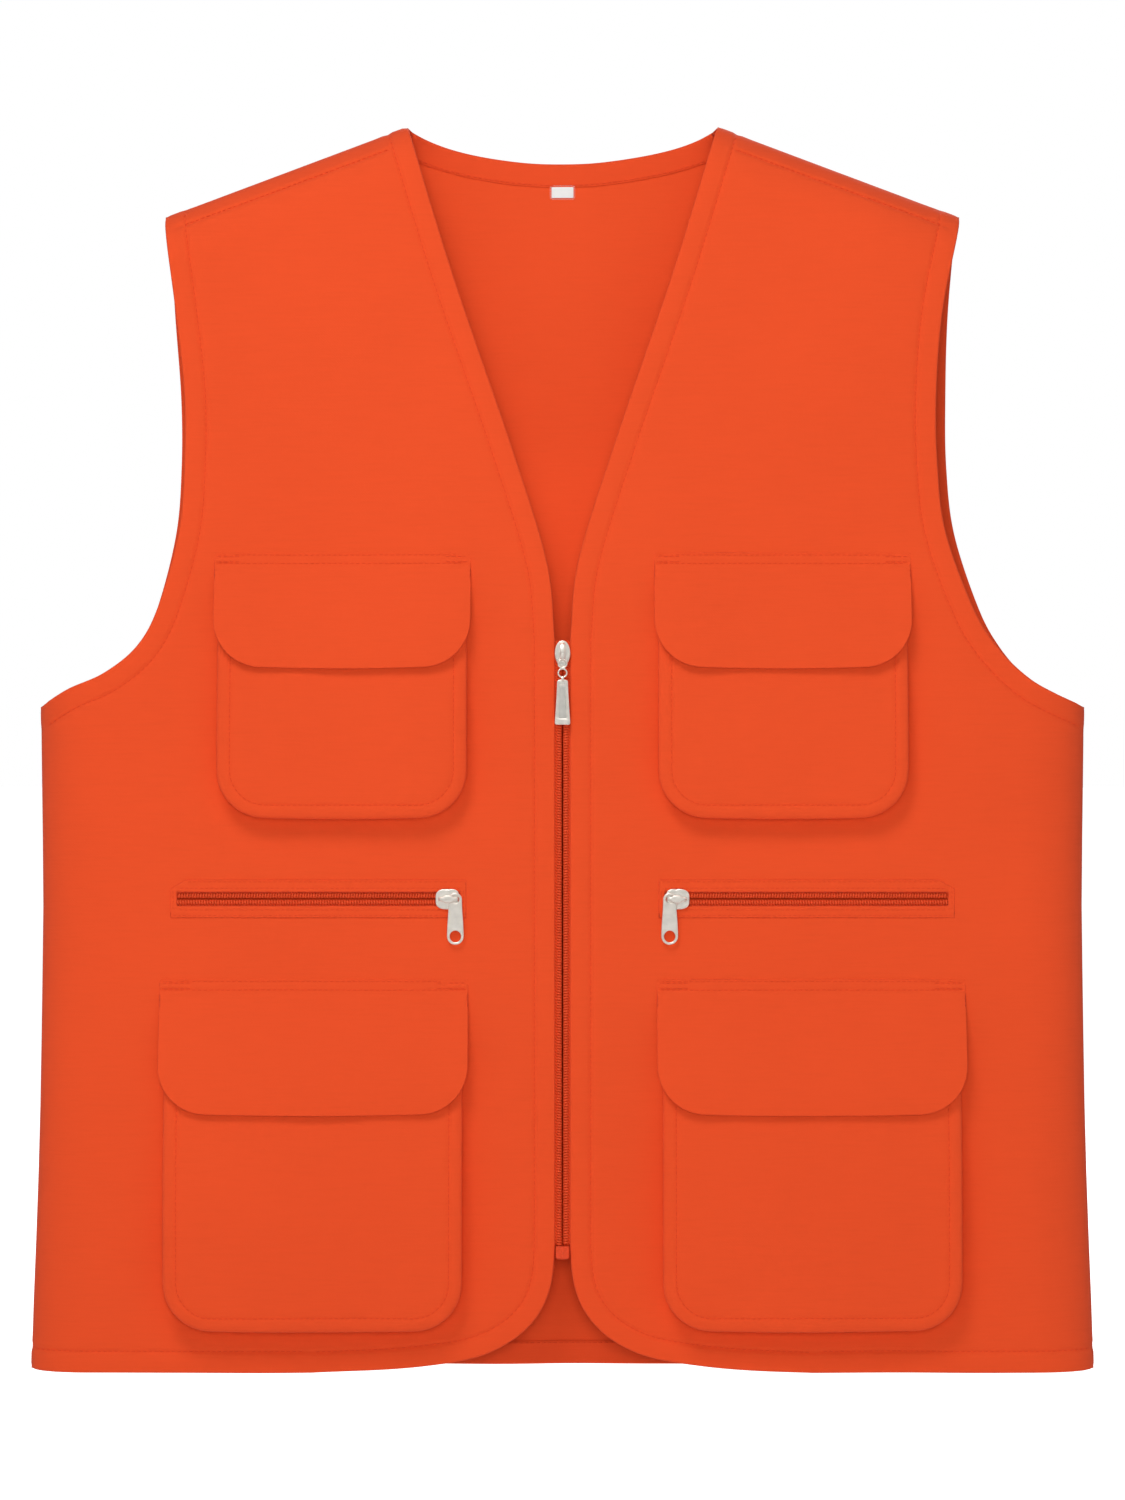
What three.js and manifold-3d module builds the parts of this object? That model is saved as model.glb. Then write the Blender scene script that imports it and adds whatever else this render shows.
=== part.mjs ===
// A sleeveless work vest, hanging with its front zip closed: one back, two fronts that swing open about the
// side seams, four bellows pockets with flaps, two zipped welt pockets and a separating front zip.
// Millimetres. +Z up, +Y from front to back, +X towards the wearer's left. The origin is where a hanger's
// neck stands: on the centre line, level with the neck points, halfway between front and back.
import * as THREE from "three";
import { mergeVertices } from "three/addons/utils/BufferGeometryUtils.js";
import Module from "manifold-3d";

const wasm = await Module();
wasm.setup();

// ---- Driving dimensions ----

// Body of the vest
const LENGTH = 700; // neck point to hem
const HEM_HALF = 298.5; // half the width at the hem
const UNDERARM = { x: 293, drop: 326 }; // lowest corner of the armhole
const NECK_HALF = 87; // half the distance between the neck points
const SHOULDER_TIP = { x: 223, drop: 51 };
const BACK_NECK_DROP = 22;
const BODY_HALF_DEPTH = 22; // centre plane to the outer face of the front and of the back
const SIDE_FOLD = 16; // how far the side seam bulges past the flat front and back
const SHOULDER_RISE = 12; // how far the shoulder seam arches above the flat front and back
const BACK_HEM_LIFT = 4; // the back's hem ends this much above the fronts' hem
const FRONT_ARMHOLE_INSET = { left: 8, right: 5 }; // the fronts are cut this much further in than the back
const CLOTH = 1.0; // thickness of a shell panel
const FACING = 0.6; // thickness of a facing or a turned edge
const FACING_WIDTH = 12;
const FACING_INSET = 0.5; // a facing stays this far inside the edge it finishes
const GAP = 0.3; // between pieces that are sewn together
const OVERLAP = 0.2; // how far the parts of one solid piece run into each other
const SEAM_ALLOWANCE = 10; // width of the strip left inside a side seam

// Neckline and front edge
const V_END_DROP = 285; // where the V of the neck meets the zip
const ZIP_WINDOW_HALF = 4.2; // front edge to the centre line
const CORNER = { width: 88, height: 72 }; // the rounded lower corner of each front

// Bellows pockets and their flaps: centre from the centre line, drops from the neck points
const CHEST = {
  centre: 122.5, width: 139, hinge: 247.5, bottom: 388, depth: 13, corner: 26,
  flapWidth: 143, flapHeight: 58, flapCorner: 25,
};
const LOWER = {
  centre: 138.5, width: 166, hinge: 485, bottom: 672, depth: 17, corner: 27,
  flapWidth: 172, flapHeight: 68, flapCorner: 27,
};
const MOUTH_DROP = 28; // flap hinge to the pocket's mouth
const MOUTH_DEPTH = 4.6; // clear depth of a pocket at its mouth
const POCKET_CLOTH = 0.8;
const FLAP_CLOTH = 1.2; // two layers
const FLAP_BAND = 7.5; // height of the stitched band above a flap's hinge
const HOOK = { width: 60, height: 16, thickness: 0.8, edge: 6 };

// Zipped welt pockets
const WELT = { centre: 136, drop: 433, width: 158, height: 8.4, border: 5, thickness: 0.7 };
const BAG = { width: 176, height: 150, above: 14, thickness: 1.2 };

// Zips: coil teeth on woven tape
const TEETH = { width: 2.2, thickness: 1.6, split: 0.9, lift: 0.1 }; // split: from the centre line to a row
const TAPE = { width: 11, thickness: 0.5, beyond: 8, inset: 1 }; // beyond: past each end of a pocket's zip
const SLIDER = {
  plate: 1, web: 1, webLength: 4.5, corner: 1.5, taper: 0.8,
  front: 1, rear: 0.4, // clearances before and behind the zip
  start: 0.5, // clearance at the end of a pocket's zip
};
const FRONT_SLIDER = { length: 15, width: 8.8 };
const POCKET_SLIDER = { length: 13.2, width: 10 };
const CROWN = { width: 2.4, length: 10, tunnel: 1.8, thickness: 1 };
const FRONT_ZIP = { top: 289, bottom: 626 };
const BOX = { width: 7.6, height: 7.2, wall: 0.8 };
const PIN = { width: 1.4, clear: 0.1 };
const LINK = { width: 6, length: 10.5, wire: 1.1, clear: 0.4 };
const TAB = { length: 25, top: 6.2, bottom: 8.8, thickness: 1.4, eye: 3.2, ear: 0.55, above: 1.4 };
const PULL = {
  length: 29, top: 7.4, bottom: 9.4, thickness: 1.1, ring: 3.6, eye: 2.2, hole: 3.1, rim: 1.4, foot: 2,
};

const LABEL = { width: 12.5, height: 6.2, thickness: 0.4, tuck: 3 }; // tuck: how far it overlaps the facing

// ---- Derived positions ----

const FRONT_FACE = -BODY_HALF_DEPTH;
const FRONT_BACK = FRONT_FACE + CLOTH; // inner face of a front
const BACK_FACE = BODY_HALF_DEPTH;
const BACK_INNER = BACK_FACE - CLOTH;
const TAPE_BACK = FRONT_BACK + GAP + TAPE.thickness;
const TEETH_BACK = TAPE_BACK - TAPE.thickness - TEETH.lift;
const FACING_BACK = TAPE_BACK + GAP + FACING;

const v2 = (x, z) => new THREE.Vector2(x, z);
const along = (a, b, t) => a.clone().lerp(b, t);

// The shoulder line runs from neck point to shoulder tip; flat panels stop below the arch of the seam.
const neckPoint = v2(NECK_HALF, 0);
const shoulderTip = v2(SHOULDER_TIP.x, -SHOULDER_TIP.drop);
const shoulderDirection = shoulderTip.clone().sub(neckPoint).normalize();
const shoulderUp = v2(-shoulderDirection.y, shoulderDirection.x);
const below = (p, d) => p.clone().addScaledVector(shoulderUp, -d);
const neckCorner = below(neckPoint, SHOULDER_RISE + GAP);
const tipCorner = below(shoulderTip, SHOULDER_RISE + GAP);

// The line where a flat panel starts to turn round the vest's side, straight from underarm to hem.
const sideTop = v2(UNDERARM.x - SIDE_FOLD, -UNDERARM.drop);
const sideBottom = v2(HEM_HALF - SIDE_FOLD, -LENGTH);
const sideAt = (z) => along(sideTop, sideBottom, (sideTop.y - z) / (sideTop.y - sideBottom.y));
const sideLean = Math.atan2(sideBottom.x - sideTop.x, LENGTH - UNDERARM.drop);

const spline = (points, steps) => new THREE.SplineCurve(points).getPoints(steps);

// Armhole edge from the shoulder tip to the side edge, cut further in by inset halfway down.
function armhole(inset, steps = 14) {
  const { x, drop } = SHOULDER_TIP;
  const deep = UNDERARM.drop - drop;
  const at = (out, down, share) => v2(out - inset * share, -drop - deep * down);
  return spline([
    tipCorner,
    at(x - 6, 0.2, 0.7),
    at(x - 8.5, 0.44, 1),
    at(x - 5, 0.64, 1),
    at(x + 6, 0.78, 0.9),
    at(x + 26, 0.905, 0.5),
    sideTop,
  ], steps);
}

// V of the neck, from the neck corner to the front edge.
function neckline(steps = 12) {
  const at = (x, drop) => v2(x, -drop);
  return spline([
    neckCorner,
    at(0.7 * NECK_HALF, 0.3 * V_END_DROP),
    at(0.325 * NECK_HALF, 0.635 * V_END_DROP),
    at(ZIP_WINDOW_HALF + 4.5, 0.86 * V_END_DROP),
    at(ZIP_WINDOW_HALF, V_END_DROP),
  ], steps);
}

function lowerCorner(steps = 10) {
  const points = [];
  for (let i = 0; i <= steps; i++) {
    const a = (i / steps) * (Math.PI / 2);
    points.push(v2(
      ZIP_WINDOW_HALF + CORNER.width * (1 - Math.cos(a)),
      -LENGTH + CORNER.height * (1 - Math.sin(a)),
    ));
  }
  return points;
}

const frontEdge = () => [...neckline(), ...lowerCorner()];

function backNeck(steps = 10) {
  return spline([
    neckCorner,
    v2(0.66 * NECK_HALF, -0.8 * BACK_NECK_DROP),
    v2(0.3 * NECK_HALF, -0.97 * BACK_NECK_DROP),
    v2(0, -BACK_NECK_DROP),
  ], steps);
}

// Outer end of a hem's facing, whose end follows the side edge.
const hemStrip = (z) => [sideAt(z).sub(v2(GAP, 0)), sideAt(z + FACING_WIDTH).sub(v2(GAP, 0))];

// ---- Geometry helpers ----

const mirrored = (points, side) => points.map((p) => v2(side * p.x, p.y));

// A flat piece in the XZ plane whose back face lies at y = back.
function plate(outline, thickness, back = 0, holes = []) {
  const shape = new THREE.Shape(outline);
  holes.forEach((h) => shape.holes.push(new THREE.Path(h)));
  const geometry = new THREE.ExtrudeGeometry(shape, { depth: thickness, bevelEnabled: false });
  return geometry.rotateX(Math.PI / 2).translate(0, back, 0);
}

// Points d to the right of a path, as seen along it.
function offset(points, d) {
  return points.map((p, i) => {
    const a = points[Math.max(i - 1, 0)];
    const b = points[Math.min(i + 1, points.length - 1)];
    const t = b.clone().sub(a).normalize();
    return v2(p.x + t.y * d, p.y - t.x * d);
  });
}

// A strip along a path, between the offsets near and far.
const strip = (path, near, far) => [...offset(path, near), ...offset(path, far).reverse()];

const rectangle = (x0, z0, x1, z1) => [v2(x0, z0), v2(x1, z0), v2(x1, z1), v2(x0, z1)];

// A rectangle hanging from z = 0, centred on x = 0, with its two lower corners rounded.
function pocketOutline(width, height, radius, steps = 6) {
  const points = [v2(width / 2, 0)];
  for (const s of [1, -1]) {
    for (let i = 0; i <= steps; i++) {
      const a = ((s > 0 ? i : steps - i) / steps) * (Math.PI / 2);
      points.push(v2(
        s * (width / 2 - radius + radius * Math.cos(a)),
        -height + radius - radius * Math.sin(a),
      ));
    }
  }
  points.push(v2(-width / 2, 0));
  return points;
}

function solid(geometry) {
  const bare = geometry.index ? geometry.toNonIndexed() : geometry.clone();
  bare.deleteAttribute("normal");
  bare.deleteAttribute("uv");
  const merged = mergeVertices(bare, 1e-4);
  return new wasm.Manifold(new wasm.Mesh({
    numProp: 3,
    vertProperties: merged.attributes.position.array,
    triVerts: new Uint32Array(merged.index.array),
  }));
}

function geometryOf(manifold) {
  const mesh = manifold.getMesh();
  return new THREE.BufferGeometry()
    .setAttribute("position", new THREE.BufferAttribute(new Float32Array(mesh.vertProperties), 3))
    .setIndex(new THREE.BufferAttribute(new Uint32Array(mesh.triVerts), 1));
}

const block = (w, d, h, x = 0, y = 0, z = 0) => new THREE.BoxGeometry(w, d, h).translate(x, y, z);
const join = (...parts) => geometryOf(parts.map(solid).reduce((a, b) => a.add(b)));
const cut = (body, ...tools) => geometryOf(tools.map(solid).reduce((a, b) => a.subtract(b), solid(body)));

// ---- Materials ----

const cloth = new THREE.MeshStandardMaterial({ color: 0xf2542b, roughness: 0.85, metalness: 0 });
const lining = new THREE.MeshStandardMaterial({ color: 0xe84e28, roughness: 0.9, metalness: 0 });
const tapeCloth = new THREE.MeshStandardMaterial({ color: 0xd83f22, roughness: 0.8, metalness: 0 });
const nylon = new THREE.MeshStandardMaterial({ color: 0xcf3a20, roughness: 0.45, metalness: 0 });
const nickel = new THREE.MeshStandardMaterial({ color: 0xd8d2c4, roughness: 0.28, metalness: 1 });
const hookLoop = new THREE.MeshStandardMaterial({ color: 0xe04a26, roughness: 1, metalness: 0 });
const white = new THREE.MeshStandardMaterial({ color: 0xf4f2ee, roughness: 0.7, metalness: 0 });

const vest = new THREE.Group();

function add(parent, name, geometry, material, x = 0, y = 0, z = 0) {
  const mesh = new THREE.Mesh(geometry, material);
  mesh.name = name;
  mesh.position.set(x, y, z);
  parent.add(mesh);
  return mesh;
}

// ---- Back ----

function backOutline() {
  const half = [...armhole(0), sideAt(-LENGTH + BACK_HEM_LIFT)];
  const neck = backNeck();
  return [
    ...mirrored(neck.slice(0, -1), -1),
    ...neck.slice().reverse(),
    ...half,
    ...mirrored(half, -1).reverse(),
  ];
}

// Section of a shell that follows part of an ellipse a by b, from angle 0 to end.
function ringSection(a, b, end, steps, place = (p) => p) {
  const arc = (p, q) => new THREE.EllipseCurve(0, 0, p, q, 0, end).getPoints(steps).map(place);
  return [...arc(a, b), ...arc(a - CLOTH, b - CLOTH).reverse()];
}

// An upright extrusion that follows the lean of the vest's side, from the hem up to the underarm.
function alongSide(section, side, x, hem) {
  const bottom = sideAt(hem);
  const length = sideTop.distanceTo(bottom);
  return new THREE.ExtrudeGeometry(new THREE.Shape(section), { depth: length, bevelEnabled: false })
    .rotateY(-side * sideLean).translate(side * (bottom.x + x), 0, hem);
}

// The quarter round that carries a panel's cloth from the flat to the side seam. face is -1 on a front.
function sideRound(face, side, hem) {
  const end = Math.PI / 2 - GAP / 2 / BODY_HALF_DEPTH;
  const place = (p) => v2(side * p.y, face * p.x);
  return alongSide(ringSection(BODY_HALF_DEPTH, SIDE_FOLD, end, 7, place), side, -OVERLAP / 2, hem);
}

function buildBack() {
  const back = new THREE.Group();
  const hemLine = -LENGTH + BACK_HEM_LIFT;
  add(back, "back_panel",
    join(plate(backOutline(), CLOTH, BACK_FACE), sideRound(1, 1, hemLine), sideRound(1, -1, hemLine)), cloth);

  const neck = backNeck();
  const across = [...mirrored(neck, -1), ...neck.slice(0, -1).reverse()];
  add(back, "back_neck_facing", plate(strip(across, 0, FACING_WIDTH), FACING, BACK_INNER - GAP), lining);
  const hem = hemStrip(hemLine);
  const hemOutline = [...mirrored(hem, -1).reverse(), ...hem];
  add(back, "back_hem_facing", plate(hemOutline, FACING, BACK_INNER - GAP), lining);
  add(back, "size_label",
    plate(rectangle(-LABEL.width / 2, -LABEL.height, LABEL.width / 2, 0), LABEL.thickness), white,
    0, BACK_INNER - GAP - FACING - GAP, -BACK_NECK_DROP - FACING_WIDTH + LABEL.tuck);

  for (const [word, side] of [["left", 1], ["right", -1]]) {
    const edge = armhole(0).slice(1, -1);
    add(back, `${word}_back_armhole_facing`,
      plate(mirrored(strip(edge, FACING_INSET, FACING_WIDTH), side), FACING, BACK_INNER - GAP), lining);

    // What is left of the cloth inside the side seam.
    const ridge = SIDE_FOLD - CLOTH - GAP;
    const allowance = rectangle(side * (ridge - SEAM_ALLOWANCE), GAP / 2, side * ridge, GAP / 2 + CLOTH);
    add(back, `${word}_side_seam`, alongSide(allowance, side, 0, hemLine), lining);

    // The shoulder seam arches over the shoulder line.
    const width = neckPoint.distanceTo(shoulderTip);
    const section = new THREE.Shape(ringSection(BODY_HALF_DEPTH, SHOULDER_RISE, Math.PI, 12));
    const shoulder = new THREE.ExtrudeGeometry(section, { depth: width, bevelEnabled: false })
      .rotateX(Math.PI / 2).rotateZ(Math.PI / 2);
    const start = below(neckPoint, SHOULDER_RISE);
    const arch = new THREE.Group();
    arch.position.set(side * start.x, 0, start.y);
    arch.rotation.y = side * Math.atan2(-shoulderDirection.y, shoulderDirection.x);
    add(arch, `${word}_shoulder_seam`, shoulder, cloth, side > 0 ? 0 : -width, 0, 0);
    back.add(arch);
  }
  return back;
}

// ---- Pockets and flaps ----

// Moves a plate's front face out to the depth that a wedge has at that height.
function wedge(outline, depthAt) {
  const geometry = plate(outline, 1);
  const position = geometry.attributes.position;
  for (let i = 0; i < position.count; i++) {
    if (position.getY(i) < -0.5) position.setY(i, -depthAt(position.getZ(i)));
  }
  return geometry;
}

// A bellows pocket: a face and side walls, open at the top and at the back, where the front closes it.
function bellows(size) {
  const height = size.bottom - size.hinge - MOUTH_DROP;
  const slope = (size.depth - MOUTH_DEPTH) / height;
  const inside = (z) => MOUTH_DEPTH - z * slope;
  const outer = wedge(pocketOutline(size.width, height, size.corner), (z) => inside(z) + POCKET_CLOTH);
  const room = pocketOutline(
    size.width - 2 * POCKET_CLOTH, height - POCKET_CLOTH + 2, size.corner - POCKET_CLOTH);
  const inner = wedge(room, (z) => inside(z + 2)).translate(0, 0, 2);
  return cut(outer, inner, block(2 * size.width, 2, 2 * height, 0, 1 - 1e-3, -height / 2));
}

function buildPocket(front, word, side, name, size) {
  const x = side * size.centre;
  add(front, `${word}_${name}_pocket`, bellows(size), cloth, x, FRONT_FACE - GAP, -size.hinge - MOUTH_DROP);
  add(front, `${word}_${name}_flap_band`,
    plate(rectangle(-size.flapWidth / 2, 1, size.flapWidth / 2, FLAP_BAND), POCKET_CLOTH), cloth,
    x, FRONT_FACE - GAP, -size.hinge);

  // The flap turns about the upper edge of its outer face. Closed, it leans out over the pocket just far
  // enough for the two fastening tapes to lie between it and the sloping face of the pocket.
  const hookTop = size.flapHeight - HOOK.edge - HOOK.height;
  const slope = (size.depth - MOUTH_DEPTH) / (size.bottom - size.hinge - MOUTH_DROP);
  const faceAt = (drop) => GAP + MOUTH_DEPTH + POCKET_CLOTH + slope * drop;
  const reach = faceAt(hookTop - MOUTH_DROP) + 3 * GAP + 2 * HOOK.thickness - GAP;
  const tilt = Math.asin(reach / hookTop);
  const strap = rectangle(-HOOK.width / 2, -HOOK.height, HOOK.width / 2, 0);
  const flap = new THREE.Group();
  flap.position.set(x, FRONT_FACE - GAP - FLAP_CLOTH, -size.hinge);
  flap.rotation.x = -tilt;
  add(flap, `${word}_${name}_flap`,
    plate(pocketOutline(size.flapWidth, size.flapHeight, size.flapCorner), FLAP_CLOTH, FLAP_CLOTH), cloth);
  add(flap, `${word}_${name}_hook_tape`,
    plate(strap, HOOK.thickness, FLAP_CLOTH + GAP + HOOK.thickness), hookLoop, 0, 0, -hookTop);
  front.add(flap);
  const drop = hookTop * Math.cos(tilt) - MOUTH_DROP;
  const loop = add(front, `${word}_${name}_loop_tape`, plate(strap, HOOK.thickness), hookLoop,
    x, FRONT_FACE - faceAt(drop) - GAP, -size.hinge - MOUTH_DROP - drop);
  loop.rotation.x = -Math.atan(slope);
}

// ---- Zips ----

// A slider's plate: broad and round at the top, tapering a little to the bottom.
function sliderOutline(w, l, steps = 8) {
  const points = [];
  for (let i = 0; i <= steps; i++) {
    const a = (i / steps) * Math.PI;
    points.push(v2(w * Math.cos(a), l - w + w * Math.sin(a)));
  }
  const r = SLIDER.corner;
  const foot = SLIDER.taper * w;
  points.push(v2(-foot, -l + r), v2(-foot + r, -l), v2(foot - r, -l), v2(foot, -l + r));
  return points;
}

// Two plates joined by a web, with a crown over the front plate, round a zip that runs along Z at y = 0.
function sliderBody({ length, width }) {
  const half = TEETH.thickness / 2 + SLIDER.front;
  const rear = TEETH.thickness / 2 + TAPE.thickness + SLIDER.rear;
  const plateOutline = sliderOutline(width / 2, length / 2);
  const crownFront = -half - SLIDER.plate - CROWN.tunnel - CROWN.thickness / 2;
  const postDepth = CROWN.tunnel + 2 * OVERLAP;
  const webDepth = half + rear + 2 * OVERLAP;
  const post = (z) => block(
    CROWN.width, postDepth, CROWN.thickness, 0, -half - SLIDER.plate - CROWN.tunnel / 2, z);
  const reach = CROWN.length / 2 - CROWN.thickness / 2;
  return join(
    plate(plateOutline, SLIDER.plate, -half),
    plate(plateOutline, SLIDER.plate, rear + SLIDER.plate),
    block(
      SLIDER.web, webDepth, SLIDER.webLength, 0, (rear - half) / 2, (length - SLIDER.webLength) / 2),
    post(reach), post(-reach),
    block(CROWN.width, CROWN.thickness, CROWN.length, 0, crownFront, 0),
  );
}

// y of the middle of the space under the crown, from the teeth's centre plane.
const TUNNEL = -(TEETH.thickness / 2 + SLIDER.front + SLIDER.plate + CROWN.tunnel / 2);
const TEETH_Y = TEETH_BACK - TEETH.thickness / 2;

function buildPocketZip(front, word, side) {
  const { centre, drop, width, height, border, thickness } = WELT;
  const x = side * centre;
  const window = rectangle(-width / 2, -height / 2, width / 2, height / 2);
  const frame = rectangle(
    -width / 2 - border, -height / 2 - border, width / 2 + border, height / 2 + border);
  add(front, `${word}_zip_pocket_welt`, plate(frame, thickness, 0, [window]), cloth,
    x, FRONT_FACE - GAP, -drop);
  const slot = rectangle(-width / 2, -TEETH.split, width / 2, TEETH.split);
  const tapeEnd = width / 2 + TAPE.beyond;
  add(front, `${word}_pocket_zip_tape`,
    plate(rectangle(-tapeEnd, -TAPE.width, tapeEnd, TAPE.width), TAPE.thickness, 0, [slot]),
    tapeCloth, x, TAPE_BACK, -drop);

  // The two rows of teeth are open where the slider rests and meet at the outer end.
  const half = TEETH.split + TEETH.width;
  const open = -width / 2 + GAP;
  const meet = width / 2 - TEETH.width;
  const rows = [v2(open, half), v2(open, TEETH.split), v2(meet, TEETH.split), v2(meet, -TEETH.split),
    v2(open, -TEETH.split), v2(open, -half), v2(width / 2 - GAP, -half), v2(width / 2 - GAP, half)];
  add(front, `${word}_pocket_zip_teeth`, plate(mirrored(rows, side), TEETH.thickness), nylon,
    x, TEETH_BACK, -drop);
  add(front, `${word}_zip_pocket_bag`,
    plate(rectangle(-BAG.width / 2, -BAG.height, BAG.width / 2, 0), BAG.thickness), lining,
    x, TAPE_BACK + SLIDER.plate + 4 * GAP + BAG.thickness, -drop + BAG.above);

  // The slider stands at the inner end, its crown along X. The pull hangs from the crown's inner post.
  const slider = new THREE.Group();
  const sliderCentre = centre - width / 2 + SLIDER.start + POCKET_SLIDER.length / 2;
  slider.position.set(side * sliderCentre, TEETH_Y, -drop);
  const body = add(slider, `${word}_pocket_zip_slider`, sliderBody(POCKET_SLIDER), nickel);
  body.rotation.y = -side * Math.PI / 2;
  const reach = CROWN.length / 2 - CROWN.thickness / 2;
  add(slider, `${word}_pocket_zip_pull`, pocketPull(), nickel, -side * reach, TUNNEL + PULL.thickness / 2, 0);
  front.add(slider);
}

// A flat pull with a round eye at its top, a tapering leg and a finger hole, hanging from y = z = 0.
function pocketPull() {
  const { length, top, bottom, ring, eye, hole, thickness, rim, foot } = PULL;
  const end = ring - length;
  const leg = [v2(-top / 2, 0), v2(top / 2, 0), v2(bottom / 2, end + bottom / 2), v2(bottom / 2 - foot, end),
    v2(-bottom / 2 + foot, end), v2(-bottom / 2, end + bottom / 2)];
  const circle = (r, z) => new THREE.EllipseCurve(0, z, r, r, 0, 2 * Math.PI).getPoints(16).slice(1);
  const disc = (r, z) => plate(circle(r, z), thickness);
  const deep = (r, z) => new THREE.CylinderGeometry(r, r, 3 * thickness, 16)
    .translate(0, -thickness / 2, z);
  return cut(join(plate(leg, thickness), disc(ring, 0)), deep(eye, 0), deep(hole, end + hole + rim));
}

function buildFrontZip(left, right) {
  for (const [front, word, side] of [[left, "left", 1], [right, "right", -1]]) {
    const tape = rectangle(
      side * TEETH.split, -FRONT_ZIP.bottom, side * (TEETH.split + TAPE.width), -FRONT_ZIP.top);
    add(front, `${word}_front_zip_tape`, plate(tape, TAPE.thickness, TAPE_BACK), tapeCloth);
    const row = rectangle(
      side * TEETH.split, -FRONT_ZIP.bottom + GAP, side * (TEETH.split + TEETH.width), -FRONT_ZIP.top - 2);
    add(front, `${word}_front_zip_teeth`, plate(row, TEETH.thickness, TEETH_BACK), nylon);
  }

  // The retaining box is fixed to the left tape. Its channel opens to the right, whose pin stands in it.
  const depth = TEETH.thickness + 2 * BOX.wall + 2 * GAP;
  const channel = block(
    BOX.width / 2 + 1, TEETH.thickness + 2 * GAP, BOX.height, -BOX.width / 4 - 1.5, 0, BOX.wall);
  add(left, "retaining_box", cut(block(BOX.width, depth, BOX.height), channel), nylon,
    0, TEETH_Y, -FRONT_ZIP.bottom - BOX.height / 2 - GAP);
  const pinLength = BOX.height - BOX.wall - GAP;
  add(right, "insertion_pin", block(PIN.width, TEETH.thickness - 2 * PIN.clear, pinLength), nylon,
    -TEETH.split - TEETH.width / 2, TEETH_Y, -FRONT_ZIP.bottom - pinLength / 2);

  // Slider at the top of the zip, a link through its crown and a flared tab on the link.
  const slider = new THREE.Group();
  slider.position.set(0, TEETH_Y, -FRONT_ZIP.top - FRONT_SLIDER.length / 2);
  add(slider, "front_zip_slider", sliderBody(FRONT_SLIDER), nickel);
  const barDrop = CROWN.length / 2 - CROWN.thickness - LINK.wire / 2 - LINK.clear;
  const inner = LINK.width / 2 - LINK.wire;
  const ring = plate(
    rectangle(-LINK.width / 2, -LINK.length, LINK.width / 2, LINK.wire / 2), LINK.wire, LINK.wire / 2,
    [rectangle(-inner, -LINK.length + LINK.wire, inner, -LINK.wire / 2)]);
  add(slider, "front_zip_link", ring, nickel, 0, TUNNEL, -barDrop);
  add(slider, "front_zip_tab", frontTab(), nickel, 0, TUNNEL, -barDrop - LINK.length + LINK.wire / 2);
  left.add(slider);
}

// A flared tab whose top end folds round the link's lower bar as two ears in front of and behind it.
function frontTab() {
  const { length, top, bottom, thickness, eye, ear, above } = TAB;
  const body = plate(
    [v2(-top / 2, -eye), v2(-bottom / 2, -length), v2(bottom / 2, -length), v2(top / 2, -eye)],
    thickness, thickness / 2);
  const inner = LINK.width - 2 * LINK.wire - 2 * LINK.clear;
  const hollow = LINK.wire + 2 * LINK.clear;
  const loopHeight = eye + above + 2 * OVERLAP;
  const loop = block(inner, hollow + 2 * ear, loopHeight, 0, 0, above - loopHeight / 2);
  const clear = block(inner + 2, hollow, hollow, 0, 0, 0);
  return cut(join(body, loop), clear);
}

// ---- Fronts ----

function buildFront(word, side) {
  const front = new THREE.Group();
  const outer = [...armhole(FRONT_ARMHOLE_INSET[word]), sideBottom];
  const outline = [...frontEdge().reverse(), ...outer];
  const { centre, drop, width, height } = WELT;
  const slot = rectangle(
    side * (centre - width / 2), -drop - height / 2, side * (centre + width / 2), -drop + height / 2);
  add(front, `${word}_front_panel`,
    join(plate(mirrored(outline, side), CLOTH, FRONT_BACK, [slot]), sideRound(-1, side, -LENGTH)), cloth);

  // Facings behind the neckline and front edge, the armhole and the hem.
  const edge = frontEdge().slice(1);
  const inset = TAPE.thickness + TAPE.inset;
  add(front, `${word}_front_facing`,
    plate(mirrored(strip(edge, -inset, -FACING_WIDTH), side), FACING, FACING_BACK), lining);
  const arm = armhole(FRONT_ARMHOLE_INSET[word]).slice(1, -1);
  add(front, `${word}_front_armhole_facing`,
    plate(mirrored(strip(arm, FACING_INSET, FACING_WIDTH), side), FACING, FACING_BACK), lining);
  const hemStart = ZIP_WINDOW_HALF + CORNER.width + 1;
  const hemOutline = [v2(hemStart, -LENGTH + FACING_WIDTH), v2(hemStart, -LENGTH), ...hemStrip(-LENGTH)];
  add(front, `${word}_front_hem_facing`,
    plate(mirrored(hemOutline, side), FACING, FACING_BACK), lining);

  buildPocket(front, word, side, "chest", CHEST);
  buildPocket(front, word, side, "lower", LOWER);
  buildPocketZip(front, word, side);
  return front;
}

const leftFront = buildFront("left", 1);
const rightFront = buildFront("right", -1);
buildFrontZip(leftFront, rightFront);
vest.add(buildBack(), leftFront, rightFront);

export default vest;
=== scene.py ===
"""The looks of a blaze orange work vest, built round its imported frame.

Lengths are millimetres until a mesh is made. A point of the cloth is given by x and z, as seen from the
front, and a height function gives its y. The front's cloth faces -Y and the back's faces +Y.
"""

import math

import bmesh
import bpy
import numpy as np
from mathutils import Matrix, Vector
from mathutils.geometry import delaunay_2d_cdt


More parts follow.
